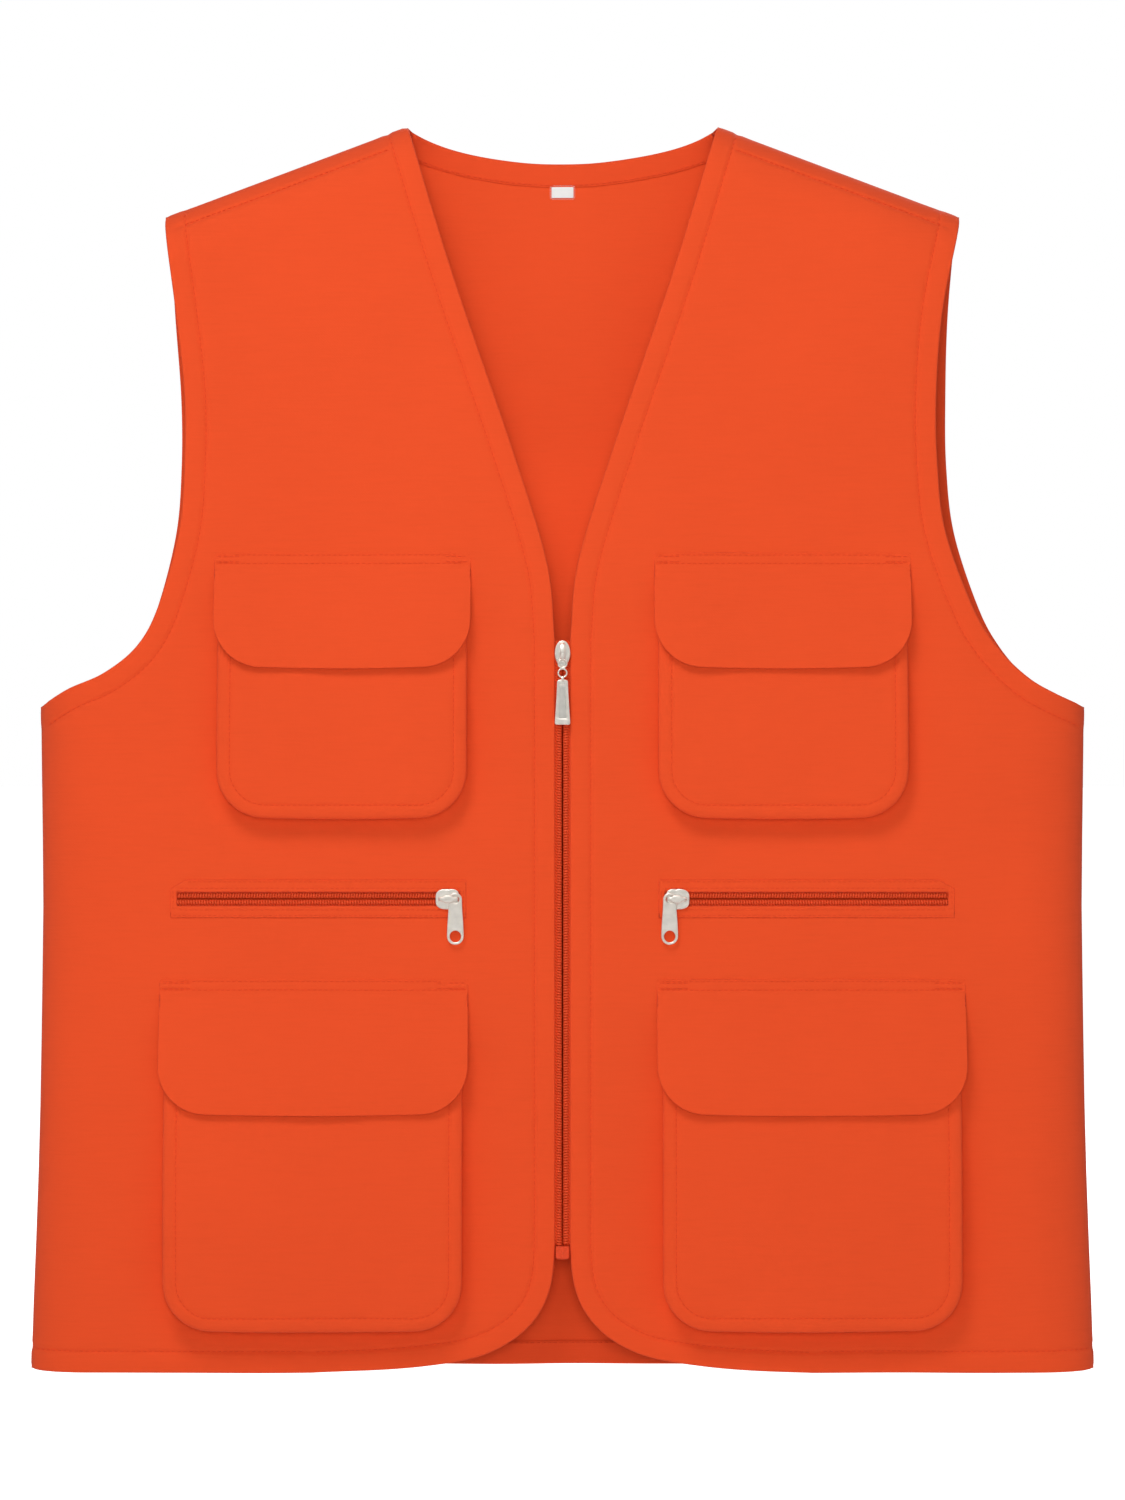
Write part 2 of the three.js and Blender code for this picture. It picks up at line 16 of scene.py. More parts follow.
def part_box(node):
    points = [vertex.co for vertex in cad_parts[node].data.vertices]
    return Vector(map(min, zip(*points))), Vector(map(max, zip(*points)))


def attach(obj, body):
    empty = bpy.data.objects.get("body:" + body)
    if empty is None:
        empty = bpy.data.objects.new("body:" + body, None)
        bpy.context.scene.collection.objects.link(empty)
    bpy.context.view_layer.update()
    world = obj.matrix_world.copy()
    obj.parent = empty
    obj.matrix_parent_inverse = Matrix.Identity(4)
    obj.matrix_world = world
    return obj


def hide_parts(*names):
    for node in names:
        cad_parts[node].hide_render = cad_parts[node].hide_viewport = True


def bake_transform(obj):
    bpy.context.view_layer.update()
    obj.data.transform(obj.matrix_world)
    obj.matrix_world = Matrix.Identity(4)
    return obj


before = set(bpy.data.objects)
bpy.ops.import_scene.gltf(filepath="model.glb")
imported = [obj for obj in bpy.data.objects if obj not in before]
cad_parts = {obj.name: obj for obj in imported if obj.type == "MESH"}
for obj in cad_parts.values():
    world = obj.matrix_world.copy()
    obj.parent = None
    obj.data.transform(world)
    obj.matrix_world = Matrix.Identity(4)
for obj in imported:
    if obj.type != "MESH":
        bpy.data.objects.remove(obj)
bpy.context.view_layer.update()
MM = 0.001


def node_box(node):
    """Lowest and highest corner of a CAD node, in millimetres."""
    low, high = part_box(node)
    return np.array(low) / MM, np.array(high) / MM


# ---- Sizes, from the frame ----

BACK_LOW, BACK_HIGH = node_box("back_panel")
FRONT_LOW, FRONT_HIGH = node_box("left_front_panel")
HALF_DEPTH = BACK_HIGH[1]
HEM = FRONT_LOW[2] + 3
BACK_HEM = BACK_LOW[2] - 2
HEM_HALF = BACK_HIGH[0]
FRONT_EDGE = FRONT_LOW[0]
SHOULDER_TIP = np.array([node_box("left_shoulder_seam")[1][0], -51.0])
NECK_POINT = np.array([87.0, 0.0])
UNDERARM = np.array([293.0, -326.0])
SIDE_TURN = 36.0  # how far from the side seam the cloth starts to turn round the side
SHOULDER_TURN = 28.0
CLOTH = 0.9  # a shell panel, as seen at its edge
BODY_SIDES = (("left", 1), ("right", -1))
FRONT_INSET = {"left": 9.0, "right": 5.5}  # the fronts' armholes are cut further in than the back's
POCKET_ZIP_Z = round(sum(node_box("left_pocket_zip_tape"))[2] / 2, 3)
SLIDER_FRONT = -HALF_DEPTH - 2.5  # y of the sliders' front face, which lies on the teeth


# ---- Curves and distances in the plane of the cloth ----

def resample(path, step):
    """The same polyline with a point about every step mm, corners included only if they fall on a step."""
    path = np.asarray(path, float)
    reach = reach_along(path)
    count = max(2, int(round(reach[-1] / step)) + 1)
    wanted = np.linspace(0, reach[-1], count)
    return np.stack([np.interp(wanted, reach, path[:, k]) for k in range(path.shape[1])], axis=1)


def spline(points, step=3.0):
    """A smooth curve through the points."""
    p = np.asarray(points, float)
    p = np.vstack([2 * p[0] - p[1], p, 2 * p[-1] - p[-2]])
    t = np.linspace(0, 1, 24, endpoint=False)[:, None]
    pieces = []
    for a, b, c, d in zip(p, p[1:], p[2:], p[3:]):
        pieces.append(0.5 * (2 * b + (c - a) * t + (2 * a - 5 * b + 4 * c - d) * t ** 2
                             + (3 * b - a - 3 * c + d) * t ** 3))
    pieces.append(p[-2:-1])
    return resample(np.vstack(pieces), step)


def straight(a, b, step=3.0):
    return resample([a, b], step)


def corners(points, step=3.0):
    """Straight runs from point to point."""
    return chain(*[straight(a, b, step) for a, b in zip(points, points[1:])])


def chain(*paths):
    """Joins paths end to end, dropping the doubled points."""
    points = np.vstack(paths)
    fresh = np.linalg.norm(np.diff(points, axis=0), axis=1) > 0.01
    return points[np.concatenate([[True], fresh])]


def mirrored(path, side):
    return np.asarray(path) * np.array([side, 1])


def normals_2d(path):
    """Unit normals to the left of a path."""
    t = np.gradient(path, axis=0)
    t /= np.linalg.norm(t, axis=1)[:, None] + 1e-12
    return np.stack([-t[:, 1], t[:, 0]], axis=1)


def offset(path, amount):
    """The path moved to its left by amount."""
    return path + normals_2d(path) * amount


def reach_along(path):
    """How far along a path each of its points lies."""
    return np.concatenate([[0], np.cumsum(np.linalg.norm(np.diff(path, axis=0), axis=1))])


def distance(points, path):
    """Distance from each point to a polyline, and how far along it the nearest place is."""
    points = np.asarray(points, float).reshape(-1, 2)
    if not len(points):
        return np.zeros(0), np.zeros(0)
    a, b = path[:-1], path[1:]
    d = b - a
    length = np.linalg.norm(d, axis=1)
    start = np.concatenate([[0], np.cumsum(length)[:-1]])
    best, along = [], []
    for k in range(0, len(points), 3000):
        q = points[k:k + 3000, None, :]
        t = np.clip(((q - a) * d).sum(2) / (length ** 2 + 1e-12), 0, 1)
        gap = np.linalg.norm(q - (a + t[:, :, None] * d), axis=2)
        i = gap.argmin(1)
        rows = np.arange(len(i))
        best.append(gap[rows, i])
        along.append(start[i] + t[rows, i] * length[i])
    return np.concatenate(best), np.concatenate(along)


def inside(points, loop):
    """Which points lie inside a closed loop."""
    found = np.zeros(len(points), bool)
    a, b = loop, np.roll(loop, -1, axis=0)
    for k in range(0, len(points), 3000):
        x, z = points[k:k + 3000, 0:1], points[k:k + 3000, 1:2]
        spans = (a[:, 1] > z) != (b[:, 1] > z)
        rise = np.where(np.abs(b[:, 1] - a[:, 1]) < 1e-12, 1e-12, b[:, 1] - a[:, 1])
        crosses = spans & (x < (b[:, 0] - a[:, 0]) * (z - a[:, 1]) / rise + a[:, 0])
        found[k:k + 3000] = crosses.sum(1) % 2 == 1
    return found


def loop_area(loop):
    x, z = loop[:, 0], loop[:, 1]
    return abs(np.dot(x, np.roll(z, -1)) - np.dot(z, np.roll(x, -1))) / 2


def closed(loop):
    return np.vstack([loop, loop[:1]])


def anticlockwise(loop):
    x, z = loop[:, 0], loop[:, 1]
    turn = np.dot(x, np.roll(z, -1)) - np.dot(z, np.roll(x, -1))
    return loop if turn > 0 else loop[::-1]


def smooth_step(t):
    t = np.clip(t, 0, 1)
    return t * t * (3 - 2 * t)


# ---- The vest's surface ----

SIDE_POINTS = np.array([UNDERARM, (292.4, -378), (291.8, -434), (292.5, -490), (293.4, -547), (295, -603),
                        (297.2, -659), (298.4, HEM)])
SIDE_LINE = spline(SIDE_POINTS, 36.0)
SIDE_SEAM = corners(SIDE_LINE)
SHOULDER_SEAM = straight(NECK_POINT, SHOULDER_TIP)


def rounded(u):
    return np.sqrt(1 - (1 - np.clip(u, 0, 1)) ** 2)


def edge_turn(x, z):
    """0 on the side and shoulder seams, 1 where the cloth is flat."""
    p = np.stack([np.abs(x), z], axis=1)
    side = distance(p, SIDE_LINE)[0] / SIDE_TURN
    shoulder = distance(p, SHOULDER_SEAM[[0, -1]])[0] / SHOULDER_TURN
    return rounded(side) * rounded(shoulder)


def folds(x, z, phase):
    """Soft folds of hanging cloth, as (length of the wave, direction, height, place) sums."""
    waves = ((150, 0.10, 0.9, 0.3), (96, -0.22, 0.55, 1.9), (61, 0.35, 0.28, 4.1), (210, 1.2, 0.7, 2.2))
    total = np.zeros_like(x)
    for length, lean, height, place in waves:
        across = x * math.cos(lean) + z * math.sin(lean)
        bend = 9 * np.sin(z / 87 + place * 2 + phase)
        total += height * np.sin(2 * math.pi * (across + bend) / length + place + phase)
    return total


def front_y(x, z):
    """y of the fronts' outer face."""
    turn = edge_turn(x, z)
    near_zip = smooth_step((np.abs(x) - 8) / 50)
    near_window = 1 - 0.8 * smooth_step(1.6 - np.abs(z - POCKET_ZIP_Z) / 32)
    calm = turn ** 2 * near_zip * near_window
    below_arm = np.clip((z - UNDERARM[1]) / (HEM - UNDERARM[1]), 0, 1)
    sag = 1.6 * smooth_step((np.abs(x) - 225) / 60) * np.sin(math.pi * below_arm)
    return -HALF_DEPTH * turn - calm * (folds(x, z, 0.0) * 0.8 + 0.2) + sag * calm


def back_y(x, z):
    """y of the back's outer face."""
    turn = edge_turn(x, z)
    return HALF_DEPTH * turn + turn ** 2 * (folds(x, z, 2.6) * 1.25 - 0.4)


def place(points, height):
    """The cloth's points in space."""
    return np.stack([points[:, 0], height(points[:, 0], points[:, 1]), points[:, 1]], axis=1)


def facing(points, height, out):
    """Points in space and the outward normals of the cloth there."""
    h = 0.4
    x, z = points[:, 0], points[:, 1]
    y = height(x, z)
    slope_x = (height(x + h, z) - height(x - h, z)) / (2 * h)
    slope_z = (height(x, z + h) - height(x, z - h)) / (2 * h)
    n = np.stack([-slope_x, np.ones_like(x), -slope_z], axis=1) * out
    n /= np.linalg.norm(n, axis=1)[:, None]
    return np.stack([x, y, z], axis=1), n


# ---- Mesh making ----

def mesh_object(name, points, faces, material):
    """An object from points in millimetres."""
    mesh = bpy.data.meshes.new(name)
    mesh.from_pydata((np.asarray(points) * MM).tolist(), [], [list(map(int, f)) for f in faces])
    mesh.validate()
    mesh.polygons.foreach_set("use_smooth", [True] * len(mesh.polygons))
    mesh.materials.append(material)
    obj = bpy.data.objects.new(name, mesh)
    bpy.context.scene.collection.objects.link(obj)
    return obj


def vertex_normals(points, triangles):
    n = np.zeros_like(points)
    a, b, c = (points[triangles[:, k]] for k in range(3))
    face = np.cross(b - a, c - a)
    for k in range(3):
        np.add.at(n, triangles[:, k], face)
    return n / (np.linalg.norm(n, axis=1)[:, None] + 1e-12)


def fill(loop, holes=(), extra=None):
    """Triangles of a flat region: points, triangles, and which points lie on its edges."""
    loops = [anticlockwise(np.asarray(loop, float))] + [np.asarray(h, float) for h in holes]
    points, edges = [], []
    for path in loops:
        first = len(points)
        points += [tuple(p) for p in path]
        count = len(path)
        edges += [(first + k, first + (k + 1) % count) for k in range(count)]
    if extra is not None and len(extra):
        points += [tuple(p) for p in extra]
    found = delaunay_2d_cdt([Vector(p) for p in points], edges, [], 1, 1e-4, False)
    flat = np.array([tuple(v) for v in found[0]])
    triangles = np.array([list(f) for f in found[2]])
    centre = flat[triangles].mean(1)
    keep = inside(centre, loops[0])
    for hole in loops[1:]:
        keep &= ~inside(centre, hole)
    triangles = triangles[keep]
    used = np.unique(triangles)
    renumber = np.full(len(flat), -1)
    renumber[used] = np.arange(len(used))
    flat, triangles = flat[used], renumber[triangles]
    sides = np.sort(np.vstack([triangles[:, [0, 1]], triangles[:, [1, 2]], triangles[:, [2, 0]]]), axis=1)
    pairs, counts = np.unique(sides, axis=0, return_counts=True)
    rim = np.zeros(len(flat), bool)
    rim[pairs[counts == 1].ravel()] = True
    return flat, triangles, rim


def grid_points(loop, step, shift=0.0):
    """Points on a grid over the loop's box, every other row moved by shift."""
    low, high = loop.min(0), loop.max(0)
    gx, gz = np.meshgrid(*(np.arange(low[k] + step / 2, high[k], step) for k in range(2)))
    gx = gx + (np.arange(gx.shape[0])[:, None] % 2) * shift
    return np.stack([gx.ravel(), gz.ravel()], axis=1)


def within(points, edges, margin):
    """Which points lie inside the first edge, outside the holes and further than margin from them all."""
    ok = inside(points, edges[0][:-1])
    for hole in edges[1:]:
        ok &= ~inside(points, hole[:-1])
    for edge in edges:
        ok &= distance(points, edge)[0] > margin
    return ok


EDGE_ROWS = (0.22, 0.6, 1.3, 3.2)


def reach_in_space(points, edge, height):
    """Distance of points of the cloth from an edge, measured in space."""
    gap, along = distance(points[:, [0, 2]], edge)
    reach = reach_along(edge)
    edge_y = np.interp(along, reach, height(edge[:, 0], edge[:, 1]))
    return np.hypot(gap, points[:, 1] - edge_y)


def cloth(name, loop, height, material, out=-1, thick=CLOTH, sink=0.0, grid=5.0, holes=(), lines=(),
          relief=None, rows=EDGE_ROWS, extra=(), folded=(), soft=None):
    """A piece of cloth with both faces and soft round edges.

    loop and holes are its outline, lines the seams or stitches that need fine points beside them, and relief
    the height of its surface detail, outwards. sink moves it inwards by that much. folded are edges where the
    cloth turns steeply, and they get rows of points close beside them.
    """
    loop = anticlockwise(np.asarray(loop, float))
    edges = [closed(loop)] + [closed(np.asarray(h, float)) for h in holes]
    fine = [offset(edges[0], r) for r in rows]
    for hole in edges[1:]:
        fine += [offset(hole, r) for r in rows] + [offset(hole, -r) for r in rows]
    for line in lines:
        fine += [offset(line, r) for r in (-2.4, -1.4, -0.6, 0, 0.6, 1.4, 2.4)]
    fine += [np.asarray(e, float) for e in extra]
    fine = np.vstack(fine)
    fine = fine[within(fine, edges, min(rows) * 0.8)]
    steep = [offset(path, s * r) for path in folded for r in (0.012, 0.05, 0.11) for s in (-1, 1)]
    if steep:
        steep = np.vstack(steep)
        ends = np.vstack([path[[0, -1]] for path in folded])
        clear_of_ends = np.linalg.norm(steep[:, None] - ends[None], axis=2).min(1) > 1.5
        steep = steep[within(steep, edges, 0.008) & clear_of_ends]
        fine = np.vstack([fine, steep])
    cells = grid_points(loop, grid, grid / 2)
    cells = cells[within(cells, edges, max(rows) + grid * 0.5)]
    for line in list(lines) + [np.asarray(e, float) for e in extra]:
        cells = cells[distance(cells, line)[0] > 2.4 + grid * 0.4]
    flat, triangles, rim = fill(loop, holes, np.vstack([fine, cells]))

    base = place(flat, height)
    turn = vertex_normals(base, triangles)
    if (turn[:, 1] * out).sum() < 0:
        triangles = triangles[:, ::-1]
        turn = -turn
    inner_edge = np.min([reach_in_space(base, e, height) for e in edges], axis=0)
    inner_edge[rim] = 0
    radius = soft or min(thick * 0.62, 0.9)
    bulge = np.sqrt(np.clip(1 - (1 - np.clip(inner_edge / radius, 0, 1)) ** 2, 0, 1))
    middle = base - turn * (sink + thick / 2)
    detail = relief(flat) if relief else np.zeros(len(flat))
    detail = detail * np.clip(inner_edge / 0.8, 0, 1)
    outer = middle + turn * (bulge * thick / 2 + detail)[:, None]
    inner = middle - turn * (bulge * thick / 2 - detail * 0.6)[:, None]
    below = np.cumsum(~rim) - 1 + len(flat)
    below = np.where(rim, np.arange(len(flat)), below)
    points = np.vstack([outer, inner[~rim]])
    faces = np.vstack([triangles, below[triangles[:, ::-1]]])
    piece = mesh_object(name, points, faces, material)
    piece["flat_size"] = (np.ptp(loop, axis=0) * MM).tolist()
    piece["flat_area"] = (loop_area(loop) - sum(loop_area(np.asarray(h, float)) for h in holes)) * MM * MM
    return piece


def stitches(name, paths, height, material, out=-1, relief=None, pitch=3.2, length=2.3, radius=0.24):
    """Rows of thread lying on the cloth, as one object."""
    ring = [(0.72, math.cos(a), math.sin(a)) for a in np.arange(6) * math.pi / 3]
    template = [(-1, 0, 0)] + [(-r, c, s) for r, c, s in ring] + ring + [(1, 0, 0)]
    template = np.array(template, float)
    sides = []
    for k in range(6):
        n = (k + 1) % 6
        sides += [(0, 1 + n, 1 + k), (1 + k, 1 + n, 7 + n, 7 + k), (13, 7 + k, 7 + n)]
    points, faces = [], []

    def surface(x, z):
        y = height(x, z)
        if relief is not None:
            y = y + out * relief(np.stack([x, z], axis=1))
        return y

    for path in paths:
        reach = reach_along(path)
        starts = np.arange(0.6, reach[-1] - length, pitch)
        if not len(starts):
            continue
        ends = [np.stack([np.interp(s, reach, path[:, k]) for k in range(2)], axis=1)
                for s in (starts, starts + length)]
        (a, na), (b, nb) = facing(ends[0], surface, out), facing(ends[1], surface, out)
        centre = (a + b) / 2 + (na + nb) / 2 * 0.1
        n = (na + nb) / 2
        t = b - a
        t /= np.linalg.norm(t, axis=1)[:, None]
        s = np.cross(t, n)
        for c, tt, nn, ss in zip(centre, t, n, s):
            first = len(points)
            points += list(c + template[:, 0:1] * tt * length / 2 + template[:, 1:2] * nn * radius
                           + template[:, 2:3] * ss * radius)
            faces += [tuple(first + i for i in f) for f in sides]
    return mesh_object(name, points, faces, material)


def sweep(name, rings, material, caps=True, around=True):
    """A surface through rings of points, each the same length; around closes each ring."""
    rings = np.asarray(rings, float)
    count, size = rings.shape[:2]
    faces = []
    for k in range(count - 1):
        for i in range(size if around else size - 1):
            j = (i + 1) % size
            faces.append((k * size + i, k * size + j, (k + 1) * size + j, (k + 1) * size + i))
    if caps and around:
        faces.append(tuple(range(size))[::-1])
        faces.append(tuple((count - 1) * size + i for i in range(size)))
    return mesh_object(name, rings.reshape(-1, 3), faces, material)


def groove(points, line, depth=0.55, width=0.9):
    """The dent that a row of stitches pulls into the cloth, with small puckers beside it."""
    gap, along = distance(points, line)
    dent = -depth * np.exp(-(gap / width) ** 2)
    pull = np.exp(-(gap / 5.5) ** 2)
    pucker = 0.13 * np.sin(along / 1.45) * np.sin(along / 9.7 + 1.1) + 0.12 * np.sin(along / 3.9 + gap / 3)
    return dent + pull * pucker


def rounded_rectangle(width, height, radius, top_radius=0.0, step=3.0, bow=0.0):
    """Outline with its top edge on z = 0, centred on x = 0, its lower corners round, its lower edge bowed."""
    w = width / 2
    a = np.linspace(0, math.pi / 2, 14)
    right = np.stack([w - radius + radius * np.cos(a), -height + radius - radius * np.sin(a)], axis=1)
    left = mirrored(right[::-1], -1)
    bottom = straight(right[-1], left[0], step)
    bottom[:, 1] -= bow * (1 - (bottom[:, 0] / (w - radius + 1e-9)) ** 2)
    b = np.linspace(0, math.pi / 2, 5)
    if top_radius > 0:
        top = np.stack([w - top_radius + top_radius * np.sin(b), top_radius * np.cos(b) - top_radius], axis=1)
    else:
        top = np.array([[w, 0.0]])
    top_left = mirrored(top[::-1], -1)
    return chain(straight(top_left[-1], top[0], step), top, straight(top[-1], right[0], step), right,
                 bottom, left, straight(left[-1], top_left[0], step), top_left)[:-1]


def plate(name, loop, front, back, material, holes=(), bevel=0.3, grid=1.2, relief=None):
    """A rigid plate in the plane of the cloth, its edges rounded by bevel. relief raises its front."""
    loop = anticlockwise(np.asarray(loop, float))
    holes = [np.asarray(h, float) for h in holes]
    edges = [closed(loop)] + [closed(h) for h in holes]
    rows = [bevel * f for f in (0.12, 0.4, 0.8)] + [bevel * 1.15]
    fine = [offset(edges[0], r) for r in rows]
    for hole in edges[1:]:
        fine += [offset(hole, s * r) for r in rows for s in (-1, 1)]
    fine = np.vstack(fine)
    cells = grid_points(loop, grid)
    fine = fine[within(fine, edges, bevel * 0.1)]
    cells = cells[within(cells, edges, bevel * 1.5)]
    flat, triangles, rim = fill(loop, holes, np.vstack([fine, cells]))
    gap = np.min([distance(flat, e)[0] for e in edges], axis=0)
    drop = bevel - np.sqrt(np.clip(bevel ** 2 - (bevel - np.clip(gap, 0, bevel)) ** 2, 0, None))
    raised = relief(flat) * np.clip(gap / 0.2, 0, 1) if relief else 0
    face = np.stack([flat[:, 0], front + drop - raised, flat[:, 1]], axis=1)
    rear = np.stack([flat[:, 0], back - drop, flat[:, 1]], axis=1)
    count = len(flat)
    sides = np.vstack([triangles[:, [0, 1]], triangles[:, [1, 2]], triangles[:, [2, 0]]])
    known = {tuple(s) for s in sides.tolist()}
    walls = [(b, a, a + count, b + count) for a, b in known if (b, a) not in known]
    faces = triangles.tolist() + (triangles[:, ::-1] + count).tolist() + walls
    return mesh_object(name, np.vstack([face, rear]), faces, material)


def two_sided(count, size):
    """Faces of a strip with two sides, each a grid of count by size points, closed along its edges."""
    total = count * size
    faces = []
    for k in range(count - 1):
        for i in range(size - 1):
            a = k * size + i
            faces.append((a, a + 1, a + size + 1, a + size))
            faces.append((total + a, total + a + size, total + a + size + 1, total + a + 1))
        a, b = k * size, k * size + size - 1
        faces.append((a, a + size, total + a + size, total + a))
        faces.append((b, total + b, total + b + size, b + size))
    for i in range(size - 1):
        a, b = i, (count - 1) * size + i
        faces.append((a, total + a, total + a + 1, a + 1))
        faces.append((b, b + 1, total + b + 1, total + b))
    return faces


def ribbon(name, path, start, end, height, material, out=-1, sink=0.0, thick=0.6, columns=5, relief=None):
    """A strip of cloth along a path, from start to end to the path's left, with both faces and soft edges."""
    across = np.linspace(start, end, columns)
    edge = min(0.5, abs(end - start) * 0.2) * np.sign(end - start)
    across = np.concatenate([[start, start + edge * 0.3, start + edge], across[1:-1],
                             [end - edge, end - edge * 0.3, end]])
    grids = np.stack([offset(path, a) for a in across], axis=1)
    count, size = grids.shape[:2]
    flat = grids.reshape(-1, 2)
    p, n = facing(flat, height, out)
    along = np.minimum(np.arange(count), np.arange(count)[::-1])[:, None] * np.ones(size)
    beside = np.minimum(np.abs(across - start), np.abs(across - end)) * np.ones((count, 1))
    shape = np.sqrt(np.clip(1 - (1 - np.clip(beside / abs(edge), 0, 1)) ** 2, 0, 1))
    shape = (shape * np.where(along == 0, 0.25, 1)).ravel()[:, None]
    extra = (relief(flat) if relief else np.zeros(len(flat)))[:, None]
    middle = p - n * (sink + thick / 2)
    outer, inner = middle + n * (shape * thick / 2 + extra), middle - n * shape * thick / 2
    piece = mesh_object(name, np.vstack([outer, inner]), two_sided(count, size), material)
    weld(piece, 0.005)
    length = np.linalg.norm(np.diff(path, axis=0), axis=1).sum()
    piece["flat_size"] = [float(length) * MM, float(abs(end - start)) * MM]
    piece["flat_area"] = math.prod(piece["flat_size"])
    return piece


def weld(piece, gap):
    """Merges points closer than gap mm and turns every face outwards."""
    bm = bmesh.new()
    bm.from_mesh(piece.data)
    bmesh.ops.remove_doubles(bm, verts=bm.verts, dist=gap * MM)
    bmesh.ops.recalc_face_normals(bm, faces=bm.faces)
    bm.to_mesh(piece.data)
    bm.free()


def bar(name, path, side, width, thick, material, power=0.55, taper=0.5):
    """A rounded bar along a path in space. side is the direction of its width, which may change on the way."""
    path = np.asarray(path, float)
    side = np.asarray(side, float)
    t = np.gradient(path, axis=0)
    t /= np.linalg.norm(t, axis=1)[:, None]
    n = np.cross(t, side)
    n /= np.linalg.norm(n, axis=1)[:, None]
    s = np.cross(n, t)
    a = np.arange(16) / 16 * 2 * math.pi
    c = np.sign(np.cos(a)) * np.abs(np.cos(a)) ** power
    d = np.sign(np.sin(a)) * np.abs(np.sin(a)) ** power
    scale = np.ones(len(path))
    scale[[0, -1]] = taper
    widths = np.broadcast_to(width, len(path))
    rings = [p + k * (c[:, None] * ss * w / 2 + d[:, None] * nn * thick / 2)
             for p, ss, nn, k, w in zip(path, s, n, scale, widths)]
    piece = sweep(name, rings, material)
    weld(piece, 0.001)
    return piece


def join(name, parts):
    """One object from several, the first one's material first."""
    bpy.ops.object.select_all(action="DESELECT")
    for part in parts:
        part.select_set(True)
    bpy.context.view_layer.objects.active = parts[0]
    if len(parts) > 1:
        bpy.ops.object.join()
    parts[0].name = name
    parts[0].data.name = name
    return parts[0]


# ---- Materials ----

def nodes_for(name):
    material = bpy.data.materials.new(name)
    material.use_nodes = True
    tree = material.node_tree
    shader = tree.nodes["Principled BSDF"]

    def add(kind, inputs=None, **settings):
        node = tree.nodes.new(kind)
        for key, value in settings.items():
            setattr(node, key, value)
        for key, value in (inputs or {}).items():
            if isinstance(value, bpy.types.NodeSocket):
                tree.links.new(value, node.inputs[key])
            else:
                node.inputs[key].default_value = value
        return node

    return material, tree, shader, add


def ramp(add, source, stops):
    node = add("ShaderNodeValToRGB", {"Fac": source})
    elements = node.color_ramp.elements
    while len(elements) < len(stops):
        elements.new(0.5)
    for element, (at, colour) in zip(elements, stops):
        element.position = at
        element.color = (*colour, 1)
    return node.outputs["Color"]


def fabric(name, colour, shade=0.86, twill=0.62, bump=0.00012, sheen=0.04, roughness=0.82):
    """Twill cloth: fine diagonal ribs, uneven threads, and slow changes of colour."""
    material, tree, shader, add = nodes_for(name)
    where = add("ShaderNodeTexCoord").outputs["Object"]
    turned = add("ShaderNodeMapping", {"Vector": where, "Rotation": (0, math.radians(45), 0)})
    ribs = add("ShaderNodeTexWave", {"Vector": turned.outputs["Vector"], "Scale": 1 / (twill * MM) / 3.2,
                                     "Distortion": 0.7, "Detail": 1.5, "Detail Scale": 1.8},
               wave_type="BANDS", bands_direction="X", wave_profile="SIN").outputs["Fac"]
    threads = add("ShaderNodeTexNoise", {"Vector": where, "Scale": 1400.0, "Detail": 3.0}).outputs["Fac"]
    drawn_out = add("ShaderNodeMapping", {"Vector": where, "Scale": (60, 60, 900)}).outputs["Vector"]
    slub = add("ShaderNodeTexNoise", {"Vector": drawn_out, "Scale": 1.0, "Detail": 3.0}).outputs["Fac"]
    patches = add("ShaderNodeTexNoise", {"Vector": where, "Scale": 7.0, "Detail": 2.0}).outputs["Fac"]
    dark = tuple(c * shade for c in colour)
    tone = ramp(add, patches, [(0.3, tuple(c * (1 + (shade - 1) * 0.35) for c in colour)), (0.7, colour)])
    fine = add("ShaderNodeMath", {0: ribs, 1: threads}, operation="MULTIPLY").outputs[0]
    fine = add("ShaderNodeMath", {0: fine, 1: slub}, operation="ADD").outputs[0]
    grain = ramp(add, fine, [(0.25, dark), (0.75, colour)])
    mixed = add("ShaderNodeMix", data_type="RGBA", blend_type="MIX")
    mixed.inputs["Factor"].default_value = 0.4
    tree.links.new(tone, mixed.inputs["A"])
    tree.links.new(grain, mixed.inputs["B"])
    tree.links.new(mixed.outputs["Result"], shader.inputs["Base Color"])
    rough = add("ShaderNodeMapRange", {"Value": fine, "From Min": 0.2, "From Max": 1.0,
                                       "To Min": roughness + 0.08, "To Max": roughness - 0.08})
    tree.links.new(rough.outputs["Result"], shader.inputs["Roughness"])
    raised = add("ShaderNodeBump", {"Height": fine, "Strength": 0.5, "Distance": bump})
    tree.links.new(raised.outputs["Normal"], shader.inputs["Normal"])
    shader.inputs["Sheen Weight"].default_value = sheen
    shader.inputs["Sheen Roughness"].default_value = 0.6
    shader.inputs["Specular IOR Level"].default_value = 0.06
    return material


